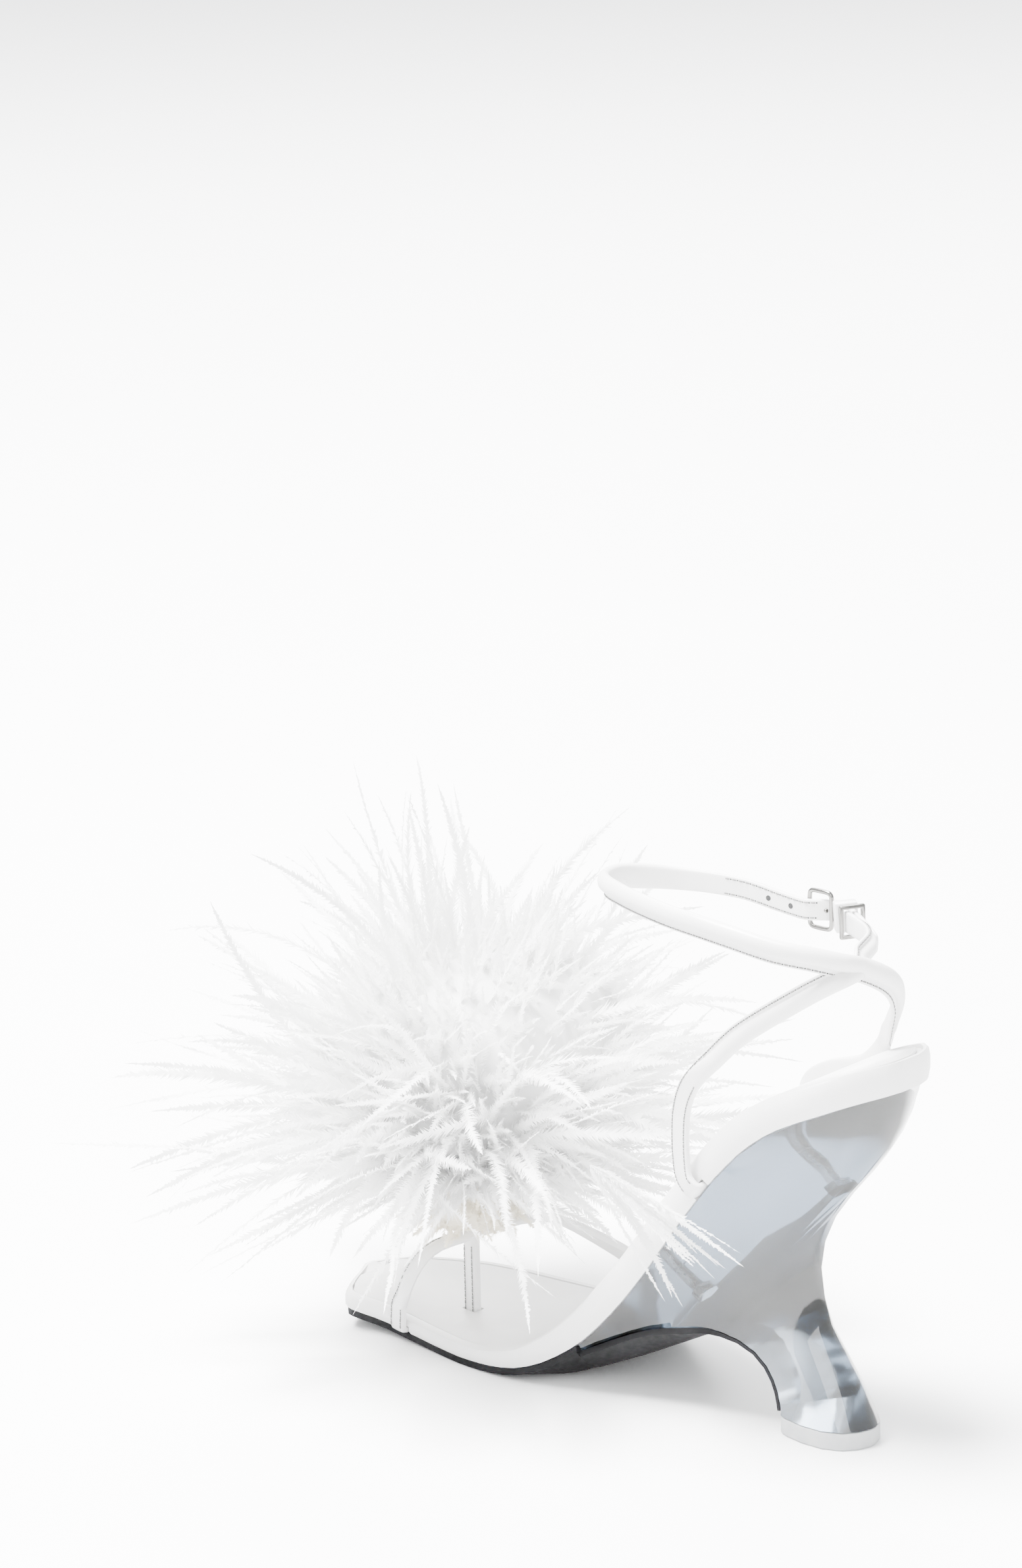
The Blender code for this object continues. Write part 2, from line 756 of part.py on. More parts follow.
def wedge_ring(top, lower):
    y, z = wedge_top(top)
    sides = {}
    for side, foot in ((-1, lower[0]), (1, lower[-1])):
        if z is None:
            half = (full_half(y, side) - 0.4 * MM) * seat_nose(y, foot_place(0) + RAND_INSET)
            half = max(half, 1.2 * MM)
            head = np.array([side * half, y, underside(y, side * half) - GAP * stretch(y)])
        else:
            head = np.array([side * 1.2 * MM, y, z])
        line = []
        for share in SIDE_STOPS[1:-1]:
            spot = foot + (head - foot) * share
            own = wedge_half(spot[1], spot[2], side)
            low = abs(foot[0]) - wedge_half(foot[1], foot[2], side)
            high = abs(head[0]) - wedge_half(head[1], head[2], side)
            own += low * (1 - share) ** 3 + high * share ** 3
            own = abs(spot[0]) + (own - abs(spot[0])) * min(top / 0.15, 1.0)
            line.append(np.array([side * own, spot[1], spot[2]]))
        sides[side] = line + [head]
    middle = (sides[-1][-1] + sides[1][-1]) / 2
    return list(lower) + sides[1] + [middle] + sides[-1][::-1]


def tread_half(y, side):
    return abs(wedge_half(y, TREAD_THICK + GAP, side)) * breast_narrowing(y)


def breast_narrowing(y):
    share = (TREAD_LENGTH / 2 - y) / (0.4 * TREAD_LENGTH)
    return 1 - BREAST_NARROW * max(1 - share, 0.0) ** 2


def tread_ring():
    """Foot of the wedge, level, above the tread."""
    z = TREAD_THICK + GAP
    front = TREAD_LENGTH / 2
    ring = [np.array([part * tread_half(front, 1), front, z]) for part in SOLE_SHARES]
    for side in (1, -1):
        line = []
        for share in SIDE_STOPS[1:]:
            y = front - TREAD_LENGTH * share
            line.append(np.array([side * tread_half(y, side), y, z]))
        if side > 0:
            ring += line
            ring.append((line[-1] * np.array([0, 1, 1])))
        else:
            ring += line[::-1]
    return ring


def bolt_axis(place_y):
    """Seat of a bolt on the footbed's underside, and its direction."""
    normal = down_normal(place_y)
    seat = np.array([0.0, place_y, underside(place_y)])
    return seat, normal


def turned(name, seat, normal, sections, sides):
    """Stacked regular outlines along normal: (distance from seat, radius)."""
    side = np.array([1.0, 0.0, 0.0])
    other = np.cross(normal, side)
    rings = []
    for distance, radius in sections:
        centre = seat + normal * distance
        rings.append([
            centre + side * radius * math.cos(math.tau * (k + 0.5) / sides)
            + other * radius * math.sin(math.tau * (k + 0.5) / sides)
            for k in range(sides)
        ])
    return loft(name, rings, 30)


def make_bolt(name, place_y, reach, collection, cutters):
    steel = material("bolt_steel", (0.62, 0.61, 0.59), 0.28, 1.0)
    seat, normal = bolt_axis(place_y)
    head_from = reach - BOLT_HEAD_THICK
    start = GAP * 2
    across = BOLT_HEAD / 2 / math.cos(math.pi / 6)
    bolt = turned(name, seat, normal, [
        (start, BOLT_SHANK / 2), (head_from, BOLT_SHANK / 2), (head_from, across),
        (reach - 0.3 * MM, across), (reach, 0.9 * across),
    ], 6)
    place(bolt, collection, steel)
    pocket = turned(name + "_pocket", seat, normal, [
        (-3 * MM, BOLT_SHANK / 2 + GAP), (head_from - GAP, BOLT_SHANK / 2 + GAP),
        (head_from - GAP, across + GAP), (reach + GAP, across + GAP),
    ], 6)
    return as_cutter(pocket, cutters)


def make_heel(collection, cutters):
    clear = material("clear_acrylic", (0.95, 0.97, 0.98), 0.03, 0.0, 1.0)
    _, _, lower = waist_grids()
    rings = [wedge_ring(top, row) for top, row in zip(FAN_STOPS, lower)]
    rings[0] = [np.array([p[0], wedge_nose(), p[2]]) for p in rings[0]]
    rings.append(tread_ring())
    heel = place(loft("heel", rings), collection, clear)
    boolean(heel, make_bolt("heel_screw_front", FRONT_BOLT_PLACE, FRONT_BOLT_REACH, collection,
                            cutters), "DIFFERENCE")
    boolean(heel, make_bolt("heel_screw_rear", REAR_BOLT_PLACE, REAR_BOLT_REACH, collection,
                            cutters), "DIFFERENCE")


def make_tread(collection):
    cloudy = material("cloudy_tread", (0.86, 0.87, 0.87), 0.3, 0.0, 0.6)
    rings = []
    for z, shrink in ((0, 0.96), (0.5 * MM, 1.0), (TREAD_THICK, 1.0)):
        ring = []
        for x, y, _ in tread_ring():
            ring.append((x * shrink, y * shrink, z))
        rings.append(ring)
    place(loft("heel_tread", rings), collection, cloudy)


# Straps

FLAT_PROFILE = ((-0.5, -0.5), (-0.5, 0.05), (-0.42, 0.45), (-0.15, 0.5), (0.15, 0.5), (0.42, 0.45),
                (0.5, 0.05), (0.5, -0.5))
ROLL_PROFILE = ((-0.40, -0.48), (-0.5, 0.0), (-0.36, 0.42), (-0.10, 0.5), (0.13, 0.28),
                (0.24, -0.12), (0.5, -0.14), (0.5, -0.48))


def strap(name, line, outs, widths, thicks, rolls):
    """A strap swept along the middle of its thickness, its outer face towards outs. rolls blends
    a flat strap (0) and one rolled along one edge, with a stitched flange on the other (1)."""
    rings = []
    for k, point in enumerate(line):
        tangent = line[min(k + 1, len(line) - 1)] - line[max(k - 1, 0)]
        tangent = tangent / np.linalg.norm(tangent)
        out = outs[k] - tangent * np.dot(outs[k], tangent)
        out = out / np.linalg.norm(out)
        side = np.cross(out, tangent)
        ring = []
        for flat, roll in zip(FLAT_PROFILE, ROLL_PROFILE):
            across, up = (a + (b - a) * rolls[k] for a, b in zip(flat, roll))
            ring.append(point + side * across * widths[k] + out * up * thicks[k])
        rings.append(ring)
    return loft(name, rings, 50)


def ankle_point(row):
    across, along, up = row[:3]
    return np.array([
        across * ANKLE_WIDTH / 2,
        along * ANKLE_LENGTH,
        SEAT_HEIGHT + up * ANKLE_RISE,
    ])


def away_from_leg(point):
    """Level direction away from the leg, whose back is rounder than the loop."""
    across = point[0]
    along = 0.55 * (point[1] - 0.30 * ANKLE_LENGTH)
    return np.array([across, along, 0.0]) / math.hypot(across, along)


def tuck_route(y, side, lean, rise):
    """Middle of a strap's end, from inside its slot round the rand's lower edge and up it. lean
    tips the strap towards the toe, and rise is how far it then climbs."""
    edge, out, normal = tuck_axes(y, side)
    climb = -normal
    deep = GAP + TAB_THICK / 2
    clear = RAND_BULGE + GAP + TAB_THICK / 2
    bend = climb + 0.4 * np.array([0.0, lean, 1.0])
    rising = 0.35 * climb + np.array([0.0, lean, 1.0])
    corner = edge + out * 1.15 * clear + climb * (deep + 2.6 * MM)
    shoulder = corner + bend / np.linalg.norm(bend) * 2.6 * MM
    return [
        (edge - out * TUCK_DEPTH + climb * deep, normal),
        (edge - out * 1.5 * MM + climb * deep, normal),
        (edge + out * 0.85 * clear + climb * deep * 1.1, normal + out),
        (corner, out),
        (shoulder, out),
        (shoulder + rising / np.linalg.norm(rising) * rise, out),
    ]


def swept(name, stations, widths, thicks, stops=3):
    """A strap through stations of (point, out, roll)."""
    packed = [np.concatenate([point, [roll], out]) for point, out, roll in stations]
    line = spline(packed, stops)
    rolls = [min(max(p[3], 0.0), 1.0) for p in line]
    wide = [widths[0] + (widths[1] - widths[0]) * roll for roll in rolls]
    thick = [thicks[0] + (thicks[1] - thicks[0]) * roll for roll in rolls]
    return strap(name, [p[:3] for p in line], [p[4:] for p in line], wide, thick, rolls)


def table_stations(rows, place_of, out_of, roll=None):
    stations = []
    for row in rows:
        point = place_of(row)
        stations.append((point, out_of(point), row[3] if roll is None else roll))
    return stations


def buckle_basis():
    centre = ankle_point((BUCKLE_ACROSS, BUCKLE_ALONG, BUCKLE_UP))
    return centre, np.array([0.0, 1.0, 0.0]), np.array([1.0, 0.0, 0.0])


def inner_stations():
    """The strand from the inner side, which ends at the buckle's hinge bar."""
    centre, along, out = buckle_basis()
    stations = [(p, o, 0.0) for p, o in tuck_route(TAB_PLACE, -1, 0.0, 4 * MM)]
    stations += table_stations(INNER_STRAND_ROWS, ankle_point, away_from_leg)
    end = centre - along * (FRAME_LENGTH / 2 + GAP)
    return stations + [(end - along * 2 * MM, out - 0.3 * along, 0.0), (end, out, 0.0)]


def outer_stations():
    """The strand from the outer side: round the ankle, through the buckle and back along."""
    centre, along, out = buckle_basis()
    bar = (FRAME_LENGTH - FRAME_WIRE) / 2
    step = FRAME_WIRE / 2 + GAP + TAB_THICK / 2
    stations = [(p, o, 0.0) for p, o in tuck_route(TAB_PLACE, 1, 0.0, 4 * MM)]
    stations += table_stations(OUTER_STRAND_ROWS, ankle_point, away_from_leg)
    for along_by, out_by in ((bar + 2 * MM, -step), (bar - 0.8 * MM, -step),
                             (0.8 * MM - bar, step), (-bar - 1.2 * MM, step)):
        stations.append((centre + along * along_by + out * out_by, out, 0.0))
    inner = inner_stations()
    for k in (3, 4, 5):
        point, away, roll = inner[-k]
        lift = (TAB_THICK * (1 - roll) + ROLL_THICK * roll) / 2 + TAB_THICK / 2 + 1.5 * GAP
        hang = np.array([0.0, 0.0, TAIL_HANG * ((k - 3) / 2) ** 3])
        stations.append((point + away * lift - hang, away, 0.0))
    return stations


def strap_end_place(index, share):
    """Middle, direction and outward side of the inner strand near the buckle."""
    inner = inner_stations()
    (a, out, _), (b, _, _) = inner[index], inner[index + 1]
    along = (b - a) / np.linalg.norm(b - a)
    out = out - along * np.dot(out, along)
    return a + (b - a) * share, along, out / np.linalg.norm(out)


def make_ankle_strap(collection, cutters):
    leather = material("white_leather", (0.86, 0.85, 0.84), 0.42)
    thicks = (TAB_THICK, ROLL_THICK)
    ankle = swept("ankle_strap", inner_stations(), (STRAP_FLAT, 0.9 * ROLL_WIDTH), thicks)
    place(ankle, collection, leather)
    strand = swept("long_strand", outer_stations(), (STRAP_FLAT, ROLL_WIDTH), thicks)
    boolean(ankle, as_cutter(strand, cutters), "UNION")
    centre, along, out = buckle_basis()
    size = (PRONG_WIRE + 2 * GAP, 6 * MM, 6 * MM)
    boolean(ankle, block("prong_hole", centre, along, out, size, cutters), "DIFFERENCE")


def make_buckle(collection):
    steel = material("buckle_steel", (0.72, 0.71, 0.69), 0.2, 1.0)
    centre, along, out = buckle_basis()
    up = np.array([0.0, 0.0, 1.0])
    half_long = (FRAME_LENGTH - FRAME_WIRE) / 2
    half_high = (FRAME_HEIGHT - FRAME_WIRE) / 2
    corner = 1.6 * MM
    points = []
    for a, b, turn in ((1, 1, 0), (-1, 1, 1), (-1, -1, 2), (1, -1, 3)):
        middle = centre + along * a * (half_long - corner) + up * b * (half_high - corner)
        for step in range(4):
            angle = math.pi / 2 * (turn + step / 3)
            points.append(middle + corner * (along * math.cos(angle) + up * math.sin(angle)))
    wire("buckle_frame", points, FRAME_WIRE, collection, steel, cyclic=True)
    lift = FRAME_WIRE / 2 + GAP + PRONG_WIRE / 2
    prong = [
        centre - along * (half_long - lift),
        centre - along * 0.5 * MM + out * 0.35 * lift,
        centre + along * (half_long - 2.0 * MM) + out * lift,
        centre + along * (half_long + 1.2 * MM) + out * lift,
    ]
    wire("buckle_prong", prong, PRONG_WIRE, collection, steel)


def sleeve(name, centre, along, out, inner, wall, length, collection, mat, cutters):
    """A band round the strap: inner is its opening, height and depth."""
    outer_size = (inner[0] + 2 * wall, length, inner[1] + 2 * wall)
    band = block(name, centre, along, out, outer_size, cutters)
    cutters.objects.unlink(band)
    band.hide_render = False
    band.display_type = "TEXTURED"
    place(band, collection, mat)
    bevel = band.modifiers.new("rounded edges", "BEVEL")
    bevel.width = 0.45 * wall
    bevel.segments = 2
    opening = block(name + "_opening", centre, along, out, (inner[0], 3 * length, inner[1]), cutters)
    boolean(band, opening, "DIFFERENCE")


def make_keepers(collection, cutters):
    leather = material("white_leather", (0.86, 0.85, 0.84), 0.42)
    steel = material("buckle_steel", (0.72, 0.71, 0.69), 0.2, 1.0)
    depth = 2 * TAB_THICK + 1.5 * GAP
    for name, index, share, room, length, wall, mat in (
        ("strap_keeper", -3, 0.42, 0.7 * MM, KEEPER_LENGTH, KEEPER_THICK, leather),
        ("keeper_ring", -4, 0.35, 1.5 * MM, RING_LENGTH, RING_THICK, steel),
    ):
        middle, along, out = strap_end_place(index, share)
        middle = middle + out * (depth - TAB_THICK) / 2
        opening = (STRAP_FLAT + room, depth + room)
        sleeve(name, middle, along, out, opening, wall, length, collection, mat, cutters)


# Forefoot strap with its toe post

def vamp_point(row):
    across, along, up = row[:3]
    return np.array([
        across * BALL_WIDTH / 2,
        VAMP_INNER_PLACE + along * (VAMP_OUTER_PLACE - VAMP_INNER_PLACE),
        SOLE_THICK + GAP + up * VAMP_RISE,
    ])


def away_from_toes(point):
    out = np.array([point[0] - 2 * MM, 0.0, point[2] - 8 * MM])
    return out / np.linalg.norm(out)


def make_vamp_strap(collection, cutters):
    leather = material("white_leather", (0.86, 0.85, 0.84), 0.42)
    stations = [(p, o, 0.0) for p, o in tuck_route(VAMP_INNER_PLACE, -1, 0.0, 2 * MM)]
    stations += table_stations(VAMP_ROWS, vamp_point, away_from_toes, 1.0)
    stations += [(p, o, 0.0) for p, o in tuck_route(VAMP_OUTER_PLACE, 1, 0.8, 2 * MM)[::-1]]
    vamp = swept("vamp_strap", stations, (0.9 * VAMP_WIDTH, VAMP_WIDTH), (TAB_THICK, VAMP_THICK), 2)
    place(vamp, collection, leather)
    x, y = post_spot()
    foot = top_height(y, x) - 0.9 * MM
    head = SOLE_THICK + GAP + 0.93 * VAMP_RISE
    rings = []
    for z in np.linspace(foot, head, 4):
        ring = []
        for k in range(10):
            angle = math.tau * (k + 0.5) / 10
            along, across = math.sin(angle), math.cos(angle)
            ring.append((
                x + POST_THICK / 2 * math.copysign(abs(across) ** 0.6, across),
                y + POST_WIDTH / 2 * math.copysign(abs(along) ** 0.6, along),
                float(z),
            ))
        rings.append(ring)
    boolean(vamp, as_cutter(loft("toe_post", rings), cutters), "UNION")


# Pompom

def pompom_centre():
    x, y = post_spot()
    foot = base_floor() + BASE_HEIGHT - 0.4 * MM
    return np.array([x + 3 * MM, y + 0.5 * MM, foot + POMPOM_HEIGHT / 2])


def base_floor():
    return SOLE_THICK + GAP + 1.035 * VAMP_RISE + VAMP_THICK / 2 - 0.27 * MM


def make_base(collection):
    quill = material("ivory_quills", (0.80, 0.76, 0.66), 0.7)
    x, y = post_spot()
    rings = []
    for up, wide in ((0.0, 0.62), (0.12, 0.86), (0.45, 1.0), (0.8, 0.9), (1.0, 0.6)):
        rings.append([
            (x + BASE_RADIUS * wide * (1 + 0.07 * (k % 2)) * math.cos(math.tau * k / 20),
             y + BASE_RADIUS * wide * (1 + 0.07 * (k % 2)) * math.sin(math.tau * k / 20),
             base_floor() + up * BASE_HEIGHT)
            for k in range(20)
        ])
    place(loft("pompom_base", rings), collection, quill)


def lock_reach(way):
    """Length of a lock by its direction, short towards the front of the ankle strap."""
    level = (way[2] + 1) / 2
    reach = smooth(column(LOCK_ROWS, 0), column(LOCK_ROWS, 1), level)
    near_strap = ease((-0.62 * way[1] + 0.78 * way[2] - 0.70) / 0.22)
    return LOCK_LENGTH * reach * (1 - 0.75 * near_strap)


def make_pompom(collection):
    plume = material("white_plume", (0.93, 0.93, 0.92), 0.9)
    centre = Vector(pompom_centre())
    radii = Vector((POMPOM_RADIUS, POMPOM_RADIUS, POMPOM_HEIGHT / 2))
    chance = random.Random(7)
    shape = bmesh.new()
    bmesh.ops.create_icosphere(shape, subdivisions=3, radius=1.0)
    ways = {face: face.calc_center_median().normalized() for face in shape.faces}
    for vert in shape.verts:
        swell = 1 + 0.05 * chance.uniform(-1, 1)
        vert.co = centre + Vector([vert.co[k] * radii[k] * swell for k in range(3)])
    for face, way in ways.items():
        reach = lock_reach(way) * chance.uniform(0.62, 1.0)
        if way.z < -0.25 or chance.random() > 0.46 or reach < 0.2 * LOCK_LENGTH:
            continue
        middle = face.calc_center_median()
        lean = Vector([chance.uniform(-0.14, 0.14) for _ in range(3)])
        ring = list(face.verts)
        arms = [vert.co - middle for vert in ring]
        shape.faces.remove(face)
        for out, wide, bend in ((0.06, 0.74, 0.0), (0.40, 0.60, 0.25), (0.74, 0.36, 0.7), (1.0, 0.1, 1.3)):
            start = middle + (way + lean * bend) * reach * out
            start.z -= 0.10 * reach * bend * bend
            following = [shape.verts.new(start + arm * wide) for arm in arms]
            for k in range(3):
                shape.faces.new((ring[k], ring[(k + 1) % 3], following[(k + 1) % 3], following[k]))
            ring = following
        shape.faces.new(ring)
    mesh = bpy.data.meshes.new("feather_pompom")
    shape.to_mesh(mesh)
    shape.free()
    place(bpy.data.objects.new("feather_pompom", mesh), collection, plume)


def build():
    for obj in list(bpy.data.objects):
        bpy.data.objects.remove(obj, do_unlink=True)
    collection = bpy.data.collections.new("feather_sandal")
    cutters = bpy.data.collections.new("cutters")
    bpy.context.scene.collection.children.link(collection)
    bpy.context.scene.collection.children.link(cutters)
    make_footbed(collection, cutters)
    make_outsole(collection)
    make_heel(collection, cutters)
    make_tread(collection)
    make_ankle_strap(collection, cutters)
    make_buckle(collection)
    make_keepers(collection, cutters)
    make_vamp_strap(collection, cutters)
    make_base(collection)
    make_pompom(collection)


build()
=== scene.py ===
"""Looks of the feather sandal: leather, clear heel, metal, stitches and plumes over its solids."""

import math

import bmesh
import bpy
import numpy as np
from mathutils import Euler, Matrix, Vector
from mathutils.bvhtree import BVHTree


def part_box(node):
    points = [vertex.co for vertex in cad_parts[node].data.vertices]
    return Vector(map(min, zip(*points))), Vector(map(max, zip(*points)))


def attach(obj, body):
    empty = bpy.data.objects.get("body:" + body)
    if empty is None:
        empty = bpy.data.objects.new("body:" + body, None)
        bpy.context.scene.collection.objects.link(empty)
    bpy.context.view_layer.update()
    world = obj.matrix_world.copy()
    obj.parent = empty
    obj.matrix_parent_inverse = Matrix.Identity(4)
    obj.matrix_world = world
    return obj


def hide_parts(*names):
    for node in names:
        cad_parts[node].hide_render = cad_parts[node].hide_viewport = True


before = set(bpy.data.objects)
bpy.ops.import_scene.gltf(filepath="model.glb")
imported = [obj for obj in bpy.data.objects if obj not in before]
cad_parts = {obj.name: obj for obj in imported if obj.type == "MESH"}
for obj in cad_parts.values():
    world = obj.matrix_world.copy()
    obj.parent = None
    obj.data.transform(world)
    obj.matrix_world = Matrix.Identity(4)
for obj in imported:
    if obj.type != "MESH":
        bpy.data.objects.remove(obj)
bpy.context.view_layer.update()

MM = 0.001

# Camera, in metres, degrees and millimetres
CAMERA_PLACE = (-1.14634, -0.90396, 0.59884)
CAMERA_TURN = (74.4527, 1.1528, -48.5929)
CAMERA_LENS = 126.79
CAMERA_SENSOR = 36
CAMERA_REACH = 60

# Studio, in metres and watts
FLOOR_HALF = 12.0
SKY_COLOUR = (0.97, 0.985, 1.0, 1.0)
SKY_STRENGTH = 1.9
LIGHTS_AIM = (0.0, 0.08, 0.06)
LIGHTS = (
    ("key", (-0.5, 0.7, 2.6), 1.3, 900.0),
    ("fill", (-1.6, -1.4, 1.6), 1.8, 60.0),
    ("back", (1.5, 1.4, 1.6), 1.2, 120.0),
)

# Clear heel: the tint and strength of what a long way through it takes from the light
HEEL_ABSORPTION = (0.60, 0.645, 0.69, 1.0)
HEEL_DENSITY = 125.0

# Corners of a solid nearer than this, in metres, are one
JOIN_WITHIN = 2e-6

# Straps, as in the solids: width and thickness where flat and where rolled, in millimetres.
# A strap has SECTIONS_A_ROW sections from each row of its table to the next.
SECTIONS_A_ROW = 6
FLAT_SIZE = (6.2, 1.8)
INNER_ROLL_SIZE = (6.66, 3.6)
OUTER_ROLL_SIZE = (7.4, 3.6)
VAMP_FLAT_SIZE = (5.4, 1.8)
VAMP_ROLL_SIZE = (6.0, 2.8)

# Stitches, the pinholes between them and the strap's punched holes, in millimetres; the pinholes and
# holes are near-black discs and plugs whose colour is painted shade
STITCH_PITCH = 2.1
STITCH_LENGTH = 1.5
STITCH_WIDTH = 0.5
STITCH_SIDES = 6
PINHOLE_LONG = 0.30
PINHOLE_WIDE = 0.24
PINHOLE_LIFT = 0.035
PINHOLE_SIDES = 8
PUNCH_WIDTH = 1.7
PUNCH_LIFT = 0.05
PUNCH_SIDES = 16
PUNCHED_SECTIONS = (185, 190)

# Stitch lines along a strap: across and up shares where flat and where rolled
EDGE_LINE = ((0.36, 0.50), (0.39, -0.155))
FOLD_LINE = ((-0.36, 0.50), (0.0, 0.0))
INNER_EDGE_LINE = ((0.36, -0.50), (0.0, 0.0))
INNER_FOLD_LINE = ((-0.36, -0.50), (0.0, 0.0))

# Toe post, in millimetres: where its inner face stands, its middle along the shoe, and how far
# from that middle and between which heights its two stitch rows run
POST_FACE = -5.3
POST_PLACE = 134.7
POST_ROW = 1.45
POST_HEIGHTS = (6.5, 29)
POST_STOPS = 12

# Plumes, in millimetres. The first LONG_FRONDS of them run past the solid's locks and skin.
PLUME_PIECES = 4
FRONDS_A_PIECE = 635
LONG_FRONDS = 430
FROND_STOPS = 150
FROND_WIDTH = 5.6
# The core's half sizes and how far it sits below the pompom's heart, which is this high over the root
CORE_SIZE = (44.0, 44.0, 35.0)
CORE_DROP = 3.0
HEART_HEIGHT = 40.0
# A lock's tip is this far from the root and from the next one
LOCK_REACH = 30.0
LOCK_GAP = 5.0
# Places tried on the solid's skin, and the least height over the root of those used
SKIN_SPOTS = 1100
SKIN_FLOOR = 9.0
# Plumes droop more towards this distance from the root, and stay this far round the solid's box
POMPOM_REACH = 60.0
DROOP = 34.0
FREE = np.array([5.0, 5.0, 8.0])

# Down on the pompom's base, in millimetres
DOWN_FRONDS = 900
DOWN_STOPS = 34
DOWN_WIDTH = 3.0

# The loose plume that hangs in front of the heel: root and tips x, y, z in millimetres
LOOSE_STOPS = 90
LOOSE_WIDTH = 3.2
LOOSE_COPIES = 3
LOOSE_ROOT = (-40.0, 56.0, 80.0)
LOOSE_TIPS = (
    (-36.0, 4.2, 61.8),
    (-36.0, 11.3, 57.8),
    (-38.0, 18.6, 59.2),
    (-36.0, 29.8, 45.8),
    (-38.0, 42.4, 66.5),
)

# Columns: place x, y, z in mm, outward direction x, y, z, and 0 where the strap is flat to 1 where
# it is rolled
INNER_STRAND = (
    (-16.9, 28.1, 75.4, 0.00, -0.75, -0.66, 0.00),
    (-23.3, 28.7, 74.7, 0.00, -0.75, -0.66, 0.00),
    (-26.5, 29.2, 74.4, -0.70, -0.46, -0.55, 0.00),
    (-27.1, 31.1, 76.0, -0.99, 0.10, -0.12, 0.00),
    (-27.1, 32.6, 78.1, -0.99, 0.10, -0.12, 0.00),
    (-27.1, 33.4, 82.0, -0.99, 0.10, -0.12, 0.00),
    (-27.0, 33.5, 96.0, -1.00, 0.07, 0.00, 0.00),
    (-27.6, 29.8, 105.9, -1.00, -0.00, 0.00, 0.00),
    (-27.9, 21.0, 115.3, -0.98, -0.17, 0.00, 1.00),
    (-26.8, 13.5, 122.8, -0.95, -0.32, 0.00, 1.00),
    (-24.8, 5.3, 129.1, -0.88, -0.48, 0.00, 1.00),
    (-22.8, -1.7, 134.0, -0.79, -0.61, 0.00, 1.00),
    (-20.3, -8.5, 138.7, -0.69, -0.72, 0.00, 1.00),
    (-16.4, -13.8, 142.1, -0.56, -0.83, 0.00, 1.00),
    (-11.0, -15.2, 143.2, -0.40, -0.91, 0.00, 1.00),
    (-7.1, -14.7, 143.7, -0.28, -0.96, 0.00, 1.00),
    (-0.9, -10.0, 144.2, -0.04, -1.00, 0.00, 1.00),
    (9.0, -6.0, 144.5, 0.41, -0.91, 0.00, 1.00),
    (18.6, 3.0, 143.5, 0.78, -0.62, 0.00, 0.50),
    (25.7, 14.0, 142.6, 0.95, -0.32, 0.00, 0.00),
    (29.4, 20.0, 142.3, 0.98, -0.18, 0.00, 0.00),
    (33.0, 23.7, 142.0, 0.96, -0.29, 0.00, 0.00),
    (33.0, 25.7, 142.0, 1.00, 0.00, 0.00, 0.00),
)
